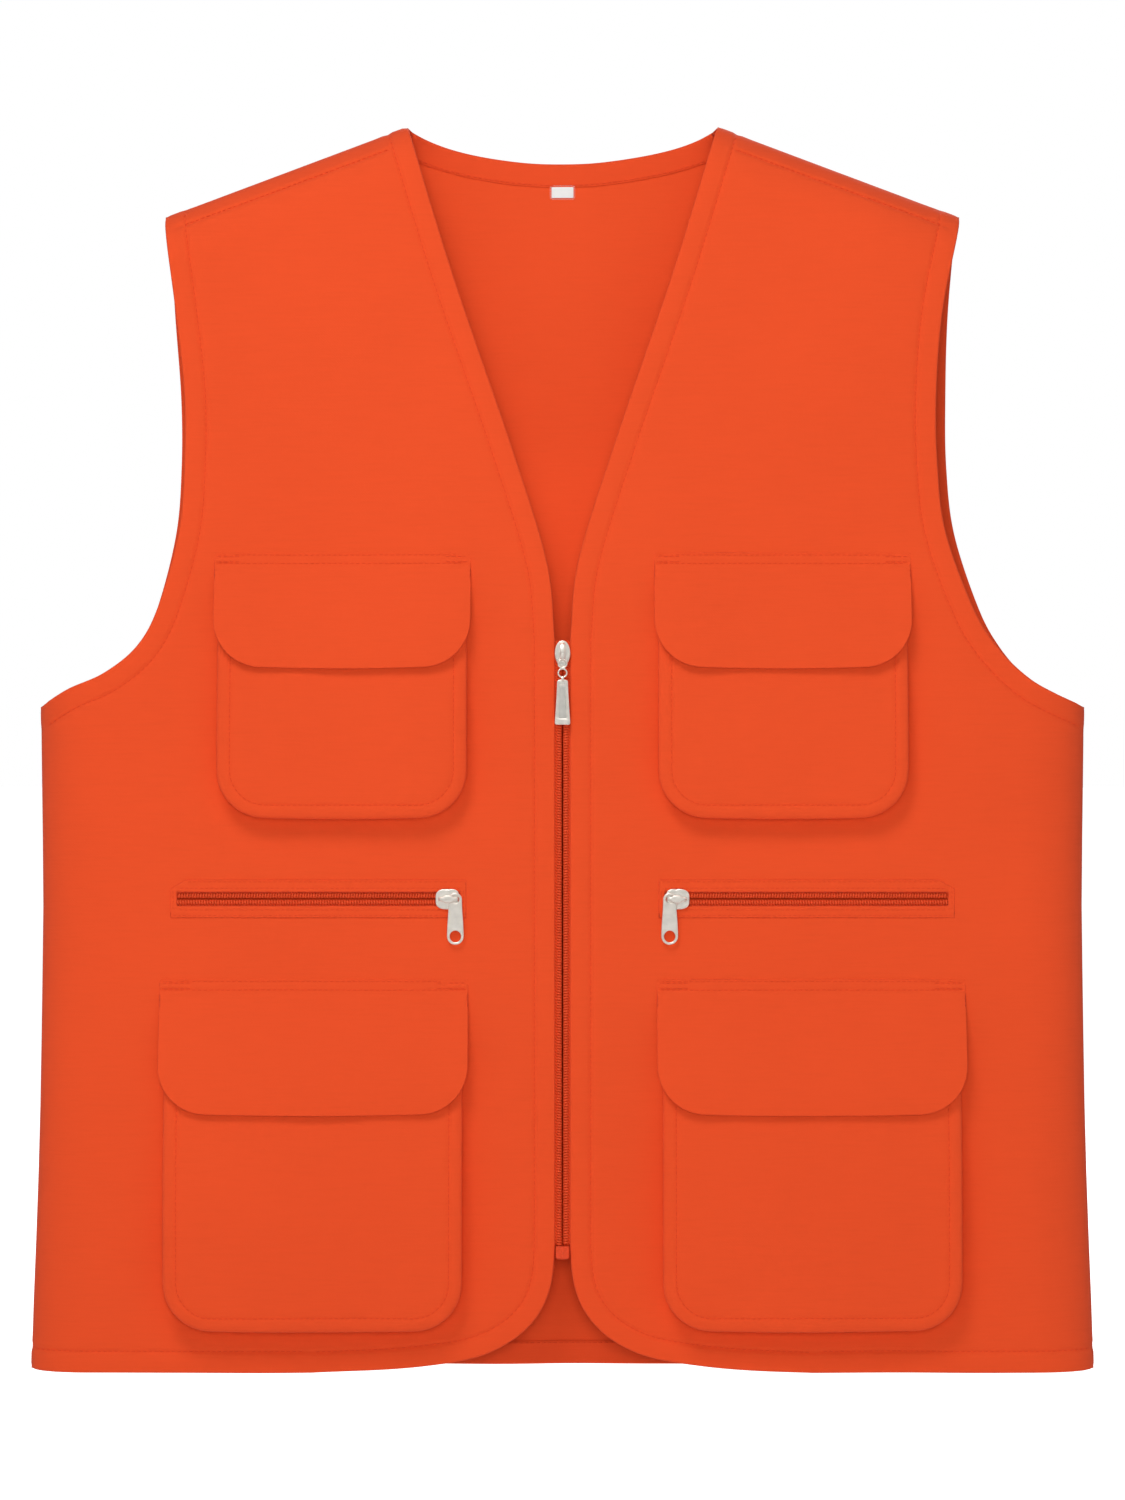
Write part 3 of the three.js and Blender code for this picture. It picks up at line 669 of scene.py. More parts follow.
def metal(name, colour, roughness=0.24, scratch=0.5):
    """Bright plated metal with soft scratches and a little cloudiness."""
    material, tree, shader, add = nodes_for(name)
    where = add("ShaderNodeTexCoord").outputs["Object"]
    cloud = add("ShaderNodeTexNoise", {"Vector": where, "Scale": 260.0, "Detail": 4.0}).outputs["Fac"]
    drawn_out = add("ShaderNodeMapping", {"Vector": where, "Scale": (4000, 900, 300)}).outputs["Vector"]
    lines = add("ShaderNodeTexNoise", {"Vector": drawn_out, "Scale": 1.0, "Detail": 2.0}).outputs["Fac"]
    tint = ramp(add, cloud, [(0.3, tuple(c * 0.86 for c in colour)), (0.72, colour)])
    tree.links.new(tint, shader.inputs["Base Color"])
    rough = add("ShaderNodeMapRange", {"Value": lines, "From Min": 0.3, "From Max": 0.8, "To Min": roughness,
                                       "To Max": roughness + 0.18 * scratch})
    tree.links.new(rough.outputs["Result"], shader.inputs["Roughness"])
    raised = add("ShaderNodeBump", {"Height": lines, "Strength": 0.12 * scratch, "Distance": 0.00003})
    tree.links.new(raised.outputs["Normal"], shader.inputs["Normal"])
    shader.inputs["Metallic"].default_value = 1.0
    return material


def woven(name, colour, pitch=0.9, bump=0.00012):
    """Zip tape: fine herringbone ribs."""
    material, tree, shader, add = nodes_for(name)
    where = add("ShaderNodeTexCoord").outputs["Object"]
    zigzag = add("ShaderNodeTexWave", {"Vector": where, "Scale": 1 / (pitch * MM) / 3.2, "Distortion": 2.2,
                                       "Detail": 1.0}, wave_type="BANDS", bands_direction="DIAGONAL",
                 wave_profile="TRI").outputs["Fac"]
    tint = ramp(add, zigzag, [(0.1, tuple(c * 0.72 for c in colour)), (0.8, colour)])
    tree.links.new(tint, shader.inputs["Base Color"])
    raised = add("ShaderNodeBump", {"Height": zigzag, "Strength": 0.6, "Distance": bump})
    tree.links.new(raised.outputs["Normal"], shader.inputs["Normal"])
    shader.inputs["Roughness"].default_value = 0.8
    shader.inputs["Specular IOR Level"].default_value = 0.05
    return material


def plastic(name, colour, roughness=0.42):
    """Moulded nylon with a fine uneven surface."""
    material, tree, shader, add = nodes_for(name)
    where = add("ShaderNodeTexCoord").outputs["Object"]
    spots = add("ShaderNodeTexNoise", {"Vector": where, "Scale": 900.0, "Detail": 3.0}).outputs["Fac"]
    tint = ramp(add, spots, [(0.3, tuple(c * 0.85 for c in colour)), (0.7, colour)])
    tree.links.new(tint, shader.inputs["Base Color"])
    rough = add("ShaderNodeMapRange", {"Value": spots, "To Min": roughness - 0.06, "To Max": roughness + 0.1})
    tree.links.new(rough.outputs["Result"], shader.inputs["Roughness"])
    raised = add("ShaderNodeBump", {"Height": spots, "Strength": 0.2, "Distance": 0.00004})
    tree.links.new(raised.outputs["Normal"], shader.inputs["Normal"])
    shader.inputs["Specular IOR Level"].default_value = 0.18
    return material


def fuzzy(name, colour, size=0.5, bump=0.0004):
    """Hook or loop tape: a dense pile of small bumps."""
    material, tree, shader, add = nodes_for(name)
    where = add("ShaderNodeTexCoord").outputs["Object"]
    cells = add("ShaderNodeTexVoronoi", {"Vector": where, "Scale": 1 / (size * MM)}).outputs["Distance"]
    pile = add("ShaderNodeTexNoise", {"Vector": where, "Scale": 2600.0, "Detail": 3.0}).outputs["Fac"]
    total = add("ShaderNodeMath", {0: cells, 1: pile}, operation="SUBTRACT").outputs[0]
    tint = ramp(add, total, [(0.0, tuple(c * 0.62 for c in colour)), (0.5, colour)])
    tree.links.new(tint, shader.inputs["Base Color"])
    raised = add("ShaderNodeBump", {"Height": total, "Strength": 0.9, "Distance": bump})
    tree.links.new(raised.outputs["Normal"], shader.inputs["Normal"])
    shader.inputs["Roughness"].default_value = 0.95
    shader.inputs["Sheen Weight"].default_value = 0.04
    return material


ORANGE = (0.87, 0.086, 0.0215)
SHELL = fabric("blaze_orange_twill", ORANGE)
LINING = fabric("orange_facing", (0.85, 0.082, 0.021))
THREAD = fabric("orange_thread", (0.8, 0.07, 0.018), twill=0.3, bump=0.00005, sheen=0.03, roughness=0.6)
TAPE = woven("orange_zip_tape", (0.86, 0.075, 0.019))
NYLON = plastic("orange_nylon", (0.9, 0.1, 0.028))
BOX_PLASTIC = plastic("orange_box_plastic", (0.85, 0.075, 0.022), 0.35)
NICKEL = metal("light_nickel", (0.95, 0.9, 0.81), 0.3)
NICKEL_DULL = metal("dull_nickel", (0.74, 0.72, 0.66), 0.36)
PILE = fuzzy("orange_pile", (0.8, 0.07, 0.02))
LABEL_CLOTH = fabric("white_label", (0.86, 0.86, 0.84), shade=0.93, twill=0.4, bump=0.00004)


# ---- Outlines of the shell ----

NECK_END = np.array([FRONT_EDGE, -288.0])
CORNER_WIDTH, CORNER_HEIGHT = 140.0, 70.0
FACING = 12.0  # from an edge to the row of stitches beside it
NECKLINE = spline([NECK_POINT, (60.9, -85.5), (28.3, -181), (8.7, -245), NECK_END])
NECK_HALF_CURVE = [NECK_POINT, (79, -4), (66, -8.6), (52, -12.2), (35, -15.2), (17, -17.4)]
BACK_NECK = spline([*NECK_HALF_CURVE, (0, -18), *[(-x, z) for x, z in NECK_HALF_CURVE[::-1]]])
ARMHOLES = {  # the back's armholes, which differ a little from side to side
    "left": [SHOULDER_TIP, (218.4, -103), (217.2, -150), (217.8, -190), (222.3, -228), (236, -270),
             (248, -292), (263, -309), (276, -318), UNDERARM],
    "right": [SHOULDER_TIP, (219.7, -103), (216.2, -150), (216, -190), (219.2, -228), (230, -270),
              (241, -292), (258, -307), (277, -316), UNDERARM],
}
CORNER = spline([(CORNER_WIDTH, HEM), (104, HEM + 1.5), (77, HEM + 3.8), (52, HEM + 7.8), (35, HEM + 14),
                 (21, HEM + 23.6), (11, HEM + 36.5), (5.8, HEM + 52), (FRONT_EDGE, HEM + CORNER_HEIGHT)])


def front_armhole(side_name):
    """Shoulder tip to underarm, cut further in than the back's."""
    share = np.array([0, 0.7, 1, 1, 1, 0.85, 0.7, 0.45, 0.2, 0])
    points = np.array(ARMHOLES[side_name])
    points[:, 0] -= FRONT_INSET[side_name] * share
    return spline(points)


def shell_front(side_name):
    """The front's outline, and the edges that get stitched, all as seen on the wearer's left."""
    armhole = front_armhole(side_name)
    shoulder = straight(NECK_POINT, SHOULDER_TIP)
    hem = straight(SIDE_SEAM[-1], CORNER[0])
    edge = straight(CORNER[-1], NECK_END)
    loop = chain(shoulder, armhole, SIDE_SEAM, hem, CORNER, edge, NECKLINE[::-1])[:-1]
    opening = chain(NECKLINE, edge[::-1], CORNER[::-1])
    return loop, armhole, opening, hem


def window():
    """The zipped pocket's opening on the left: its outline and its ends in x and z."""
    low, high = node_box("left_zip_pocket_welt")
    x0, x1, z0, z1 = low[0] + 5, high[0] - 5, low[2] + 5, high[2] - 5
    return corners([(x0, z0), (x1, z0), (x1, z1), (x0, z1), (x0, z0)])[:-1], (x0, x1, z0, z1)


def inward(path, loop, amount):
    """The path moved amount into the loop."""
    moved = offset(path, amount)
    middle = moved[len(moved) // 2][None]
    return moved if inside(middle, loop)[0] else offset(path, -amount)


def side_of(path, loop):
    """1 where the loop lies to the path's left, -1 where it lies to its right."""
    probe = offset(path, 6)[len(path) // 2]
    return 1 if inside(probe[None], loop)[0] else -1


def turned_strip(name, path, sign, height, width, out):
    """A strip of lining turned under along an edge."""
    return ribbon(name, path, sign * 0.6, sign * width, height, LINING, out=out, sink=CLOTH + 0.08,
                  thick=0.55, columns=7)


def stands_for(nodes):
    if nodes:
        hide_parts(*nodes)


def finish_piece(piece, body, nodes=()):
    """Rides a piece on its body and hides the CAD nodes it stands for."""
    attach(piece, body)
    stands_for(nodes)


def blended(piece, nodes=()):
    """A piece of a front's cloth, its placing baked into its points, the CAD nodes it stands for hidden."""
    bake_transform(piece)
    stands_for(nodes)


# ---- The back ----

def make_back():
    armholes = [mirrored(spline(ARMHOLES[name]), s) for name, s in BODY_SIDES]
    shoulder = straight(NECK_POINT, SHOULDER_TIP)
    side = SIDE_SEAM[SIDE_SEAM[:, 1] > BACK_HEM + 1]
    hem_end = np.array([np.interp(-BACK_HEM, -SIDE_SEAM[:, 1], SIDE_SEAM[:, 0]), BACK_HEM])
    left, right = (chain(mirrored(shoulder, s), armhole, mirrored(side, s), mirrored([hem_end], s))
                   for (_, s), armhole in zip(BODY_SIDES, armholes))
    hem = straight(hem_end, mirrored(hem_end, -1))
    loop = chain(left, hem, right[::-1], BACK_NECK[::-1])[:-1]
    seams = [inward(path, loop, FACING) for path in (BACK_NECK, *armholes)] + [hem + np.array([0, FACING])]

    def relief(p):
        return sum(groove(p, s) for s in seams) + band_step(p, [BACK_NECK, *armholes, hem])

    folded = [mirrored(p, s) for p in (SIDE_SEAM, SHOULDER_SEAM) for s in (1, -1)]
    panel = cloth("back_cloth", loop, back_y, SHELL, out=1, lines=seams, relief=relief, grid=6.0,
                  folded=folded)
    finish_piece(panel, "back", ["back_panel", "left_shoulder_seam", "right_shoulder_seam"])
    thread = stitches("back_thread", seams, back_y, THREAD, out=1, relief=relief)
    finish_piece(thread, "back")
    inner = stitches("back_inner_thread", seams, lambda x, z: back_y(x, z) - CLOTH - 0.75, THREAD, out=-1)
    finish_piece(inner, "back")
    parts = []

    def turn_under(node, path, sign):
        strip = turned_strip(f"{node}_cloth", path, sign, back_y, FACING + 1.2, 1)
        finish_piece(strip, "back", [node])
        parts.append(strip)

    turn_under("back_neck_facing", BACK_NECK[1:-1], side_of(BACK_NECK, loop))
    for (name, s), armhole in zip(BODY_SIDES, armholes):
        path = armhole[2:-4]
        turn_under(f"{name}_back_armhole_facing", path, side_of(path, loop))
        parts.append(side_allowance(name, s))
    turn_under("back_hem_facing", straight((HEM_HALF - 18, BACK_HEM), (18 - HEM_HALF, BACK_HEM)), -1)
    parts + [thread, inner] + make_label()


def band_step(p, edges):
    """Where a facing is turned under, the cloth is a little thicker and rounder."""
    gap = np.min([distance(p, e)[0] for e in edges], axis=0)
    return 0.3 * smooth_step((FACING - gap) / 4)


def side_allowance(name, s):
    """The overlocked seam allowance inside a side seam, pressed towards the back."""
    low, high = node_box("left_side_seam")
    rings = []
    for z in np.arange(high[2] - 1, low[2] + 1, -4.0):
        x_seam = np.interp(-z, -SIDE_SEAM[:, 1], SIDE_SEAM[:, 0])
        wave = 0.5 * math.sin(z / 23) + 0.25 * math.sin(z / 7.1)
        ring = []
        for y, shares in ((1.3, np.linspace(0, 1, 7)), (0.4, np.linspace(1, 0, 7))):
            ring += [(s * (x_seam - 2.2 - u * (10 + wave)), y + 1.3 * u + wave * u, z) for u in shares]
        rings.append(ring)
    piece = sweep(f"{name}_side_seam_cloth", rings, LINING)
    weld(piece, 0.001)
    finish_piece(piece, "back", [f"{name}_side_seam"])
    return piece


def make_label():
    """The blank label and its thread. It goes with the back, because it is smaller than a sheet may be."""
    low, high = node_box("size_label")
    loop = rounded_rectangle(high[0] - low[0], high[2] - low[2], 0.5, 0.5, step=1.0) + (0, high[2])

    def label_y(x, z):
        return back_y(x, z) - CLOTH - 0.72

    label = cloth("blank_size_label", loop, label_y, LABEL_CLOTH, out=-1, thick=0.35, grid=1.0, rows=(0.1, 0.3),
                  relief=lambda p: 0.08 * np.sin(p[:, 0] / 1.3))
    finish_piece(label, "back", ["size_label"])
    thread = stitches("label_thread", [offset(closed(loop), 0.7)], label_y, LABEL_CLOTH, out=-1, pitch=1.6,
                      length=1.1, radius=0.12)
    finish_piece(thread, "back")
    return [label, thread]


# ---- Pockets ----

class Pocket:
    """A bellows pocket and its flap. The mouth is shallow and the body stands off the front below it."""

    def __init__(self, kind, side_name, side):
        node = f"{side_name}_{kind}_pocket"
        low, high = node_box(node)
        self.kind, self.side_name, self.side = kind, side_name, side
        self.node, self.low, self.high = node, low, high
        self.centre = abs(low[0] + high[0]) / 2
        self.width = high[0] - low[0]
        self.top, self.bottom = high[2], low[2]
        self.depth = -HALF_DEPTH - low[1] - 1.6
        self.mouth = 4.4
        flap_low, flap_high = node_box(f"{side_name}_{kind}_flap")
        self.flap_low, self.flap_high = flap_low, flap_high
        self.flap_centre = (flap_low[0] + flap_high[0]) / 2 * side
        self.flap_width = flap_high[0] - flap_low[0]
        self.flap_gap = 5.4
        self.band_top = node_box(f"{side_name}_{kind}_flap_band")[1][2]
        self.tack = {"chest": 13.0, "lower": 18.0}[kind]
        self.corner = 27.0
        self.phase = {"left": 0.0, "right": 2.1}[side_name] + (0.9 if kind == "lower" else 0.0)

    def depth_at(self, z):
        t = np.clip((self.top - z) / (self.top - self.bottom), 0, 1)
        return self.mouth + (self.depth - self.mouth) * np.sin(math.pi / 2 * np.clip(t / 0.7, 0, 1))

    def outline(self, inset=0.0):
        w = self.width - 2 * inset
        h = self.top - self.bottom - inset
        return rounded_rectangle(w, h, self.corner - inset, step=3.0, bow=0.6) + (self.centre, self.top)

    def face_y(self, x, z):
        """The pocket's outer face: a soft pillow with its edges rolled in."""
        p = np.stack([x, z], axis=-1).reshape(-1, 2)
        gap = distance(p, self.rim)[0].reshape(np.shape(x))
        inner = inside(p, self.loop).reshape(np.shape(x))
        gap = np.where(inner, gap, 0)
        roll = 2.6 * rounded(gap / 6)
        crown = 1.5 * smooth_step(gap / 50)
        dent = 0.55 * np.sin(x / 17 + self.phase) * np.sin(z / 29 + self.phase * 2) * smooth_step(gap / 20)
        corner_fold = 0.7 * np.sin((x * self.side + z) / 9 + self.phase) * np.exp(-((gap - 9) / 8) ** 2)
        corner_fold = corner_fold * smooth_step((self.bottom + 45 - z) / 30)
        return front_y(x, z) - (self.depth_at(z) - 2.6 + roll + crown + dent + corner_fold * 0.5)

    def build(self):
        side = self.side
        self.loop = anticlockwise(mirrored(self.outline(), side))
        self.rim = self.outer_rim()
        seam = self.inner_rim(7.5)
        half, level = self.width / 2 - 2, self.top - 9
        mouth_seam = straight((self.centre - half, level), (self.centre + half, level))
        seams = [mirrored(seam, side), mirrored(mouth_seam, side)]

        def relief(p):
            return sum(groove(p, s, 0.34) for s in seams)

        face = cloth(f"{self.node}_face", self.loop, self.face_y, SHELL, out=-1, lines=seams, relief=relief,
                     grid=4.0, thick=1.0, extra=[offset(closed(self.loop), r) for r in (2.0, 4.5, 6.5)])
        piece = join(f"{self.node}_cloth", [face, self.gusset()])
        finish_piece(piece, f"{self.side_name}_front", [self.node])
        thread = stitches(f"{self.node}_thread", seams, self.face_y, THREAD, out=-1, relief=relief)
        finish_piece(thread, f"{self.side_name}_front")
        self.loop_tape()
        return piece

    def outer_rim(self):
        """The sides and bottom of the outline, without the mouth."""
        loop = self.outline()
        keep = loop[loop[:, 1] < self.top - 0.5]
        left = keep[keep[:, 0] < self.centre]
        right = keep[keep[:, 0] >= self.centre]
        right = right[np.argsort(np.arctan2(right[:, 1] - self.top + 30, right[:, 0] - self.centre))[::-1]]
        left = left[np.argsort(np.mod(np.arctan2(left[:, 1] - self.top + 30, left[:, 0] - self.centre),
                                      2 * math.pi))[::-1]]
        ends = [(self.centre + s * self.width / 2, self.top) for s in (1, -1)]
        return mirrored(np.vstack([ends[0], right, left, ends[1]]), self.side)

    def inner_rim(self, inset):
        w = self.width / 2 - inset
        r = self.corner - inset
        a = np.linspace(0, math.pi / 2, 14)
        right = np.stack([w - r + r * np.cos(a), self.bottom + inset + r - r * np.sin(a)], axis=1)
        right[:, 0] += self.centre
        left = right[::-1] * (-1, 1) + (2 * self.centre, 0)
        top = self.top - 3
        return chain(straight((self.centre + w, top), right[0]), right, straight(right[-1], left[0]), left,
                     straight(left[-1], (self.centre - w, top)))

    def gusset(self):
        """The folded strip between the face and the front."""
        rim = resample(self.rim, 3.0)
        direction = normals_2d(rim)
        middle = rim[len(rim) // 2]
        if not inside((middle + direction[len(rim) // 2] * 4)[None], self.loop)[0]:
            direction = -direction
        reach = reach_along(rim)
        self.gusset_length = reach[-1]
        end = np.minimum(reach, reach[-1] - reach)
        fold = 5.5 * smooth_step(end / 30 + 0.25) + 0.5 * np.sin(reach / 13 + self.phase)
        rings = []
        outer_y = self.face_y(*(rim + direction * 1.5).T) + 0.9
        for level in np.linspace(0, 1, 11):
            inset = 0.7 + fold * np.sin(math.pi * level) ** 0.8 + 2.0 * level
            p = rim + direction * inset[:, None]
            base_y = front_y(p[:, 0], p[:, 1]) - 0.35
            y = outer_y * (1 - level) + base_y * level
            rings.append(np.stack([p[:, 0], y, p[:, 1]], axis=1))
        grid = np.array(rings)
        hidden = np.concatenate([direction, np.zeros((len(rim), 1))], axis=1)[:, [0, 2, 1]] * 0.8
        inner = grid + hidden[None]
        points = np.vstack([grid.reshape(-1, 3), inner.reshape(-1, 3)])
        piece = mesh_object(f"{self.node}_gusset", points, two_sided(*grid.shape[:2]), SHELL)
        weld(piece, 0.001)
        return piece

    def tape_loop(self, node):
        low, high = node_box(node)
        loop = rounded_rectangle(high[0] - low[0], high[2] - low[2], 1.5, 1.5, step=2.0)
        return loop + ((high[0] + low[0]) / 2, high[2])

    def loop_tape(self):
        node = f"{self.side_name}_{self.kind}_loop_tape"
        loop = self.tape_loop(node)
        tape = cloth(f"{node}_pile", loop, self.face_y, PILE, out=-1, thick=1.3, sink=-1.25, grid=1.6,
                     rows=(0.15, 0.5, 1.2),
                     relief=lambda p: 0.12 * np.sin(p[:, 0] * 2.9) * np.sin(p[:, 1] * 3.3))
        finish_piece(tape, f"{self.side_name}_front", [node])

    # The flap

    def flap_y(self, x, z):
        """The flap's outer face, which leaves the front at its hinge and bends over the mouth."""
        v = np.clip((self.flap_high[2] - z) / (self.flap_high[2] - self.flap_low[2]), -0.2, 1.1)
        reach = self.depth_at(np.array(self.flap_low[2])) + self.flap_gap
        sewn = smooth_step((z - self.flap_high[2]) / (self.band_top - self.flap_high[2]))
        climb = 0.8 - 0.5 * sewn + (reach - 0.8) * np.sin(math.pi / 2 * np.clip(v, 0, 1)) ** 1.25
        u = (x * self.side - self.flap_centre) / (self.flap_width / 2)
        droop = 1.3 * np.abs(u) ** 3 * smooth_step(v * 1.4)
        wave = 0.5 * np.sin(x / 21 + self.phase * 3) * v + 0.25 * np.sin(x / 9.3 + self.phase) * v ** 2
        return front_y(x, np.minimum(z, self.flap_high[2])) - climb + droop - wave

    def build_flap(self):
        """The flap and the edge sewn to the front above it, which are one cloth that folds at the hinge."""
        body = f"{self.side_name}_{self.kind}_flap"
        front = f"{self.side_name}_front"
        hinge = self.flap_high[2]
        height = self.band_top - self.flap_low[2]
        loop = rounded_rectangle(self.flap_width, height, 27.0, 1.0, step=2.5, bow=0.8)
        loop = anticlockwise(mirrored(loop + (abs(self.flap_centre), self.band_top), self.side))
        low, high = loop.min(0), loop.max(0)
        rows = [straight((low[0] + 1.5, z), (high[0] - 1.5, z)) for z in (self.band_top - 1.4, hinge + 1.4)]

        def relief(p):
            near_end = np.minimum(p[:, 0] - low[0], high[0] - p[:, 0])
            depth = 0.1 + 1.7 * np.exp(-(near_end / self.tack) ** 4)
            above = smooth_step((p[:, 1] - hinge + 1) / 2)
            fold = 0.2 * np.sin(p[:, 0] / 2.3 + self.phase) * np.exp(-(near_end / 14) ** 2) * above
            return sum(groove(p, s, 0.42, 0.8) for s in rows) * depth + fold + self.flap_relief(p)

        flap = cloth(f"{body}_cloth", loop, self.flap_y, SHELL, out=-1, thick=1.1, grid=4.0, lines=rows,
                     rows=(0.12, 0.3, 0.7, 1.6, 3.2), relief=relief, soft=0.35,
                     extra=[straight((low[0] + 1, hinge - d), (high[0] - 1, hinge - d))
                            for d in (2.6, 4.0, 5.4, 6.8)])
        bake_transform(flap)
        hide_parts(body, f"{body}_band")
        ends = [straight((e, z), (e + d * self.tack, z), 2.0)
                for e, d in ((low[0] + 1.5, 1), (high[0] - 1.5, -1))
                for z in (self.band_top - 2.3, hinge + 2.3)]
        thread = stitches(f"{body}_thread", rows + ends, self.flap_y, THREAD, out=-1, relief=relief, radius=0.2)
        finish_piece(thread, front)
        node = f"{self.side_name}_{self.kind}_hook_tape"
        tape = cloth(f"{node}_hooks", self.tape_loop(node), self.flap_y, PILE, out=-1, thick=0.9, sink=1.13,
                     grid=1.6, rows=(0.15, 0.5, 1.2))
        finish_piece(tape, body, [node])

    def flap_relief(self, p):
        z = p[:, 1] - self.flap_high[2]
        x = p[:, 0] * self.side - abs(self.flap_centre)
        at_ends = np.exp(-((np.abs(x) - self.flap_width / 2 + 8) / 16) ** 2)
        return 0.3 * np.sin(x / 3.1 + self.phase) * np.exp(-np.abs(z) / 9) * at_ends


# ---- The fronts ----

def make_front(side_name, side):
    loop, armhole, opening, hem = (mirrored(p, side) for p in shell_front(side_name))
    hole = mirrored(window()[0], side)
    wide = anticlockwise(loop)
    corner_end = FRONT_EDGE + CORNER_WIDTH
    opening_seam = inward(opening, wide, FACING - 0.5)
    keep = (opening_seam[:, 1] > HEM + FACING) | (np.abs(opening_seam[:, 0]) < corner_end)
    opening_seam = opening_seam[keep]
    hem_seam = np.array([p for p in hem + np.array([0, FACING]) if abs(p[0]) > corner_end - 4])
    armhole_seam = inward(armhole, wide, FACING - 0.5)
    yoke = mirrored(straight(NECK_POINT + (10, -15), SHOULDER_TIP + (-10, -6.5)), side)
    seams = [opening_seam, hem_seam, armhole_seam, yoke]
    edges = [opening, hem, armhole]

    def relief(p):
        x = np.abs(p[:, 0])
        near_window = 0.22 * np.exp(-((np.abs(p[:, 1] - POCKET_ZIP_Z) - 6) / 5) ** 2) * np.sin(p[:, 0] / 11)
        return sum(groove(p, s) for s in seams) + band_step(p, edges) + near_window * (x > 45) * (x < 226)

    panel = cloth(f"{side_name}_front_cloth", loop, front_y, SHELL, out=-1, holes=[hole], lines=seams,
                  relief=relief, grid=5.5, folded=[mirrored(p, side) for p in (SIDE_SEAM, SHOULDER_SEAM)])
    blended(panel, [f"{side_name}_front_panel"])
    thread = stitches(f"{side_name}_front_thread", seams, front_y, THREAD, out=-1, relief=relief)
    blended(thread)
    jobs = (("front_facing", opening[2:-3]), ("front_armhole_facing", armhole[2:-4]),
            ("front_hem_facing", hem[5:]))
    for name, path in jobs:
        strip = turned_strip(f"{side_name}_{name}_cloth", path, side_of(path, wide), front_y, FACING + 1.0, -1)
        blended(strip, [f"{side_name}_{name}"])
    inner = stitches(f"{side_name}_front_inner_thread", [opening_seam, hem_seam, armhole_seam],
                     lambda x, z: front_y(x, z) + CLOTH + 0.75, THREAD, out=1)
    blended(inner)


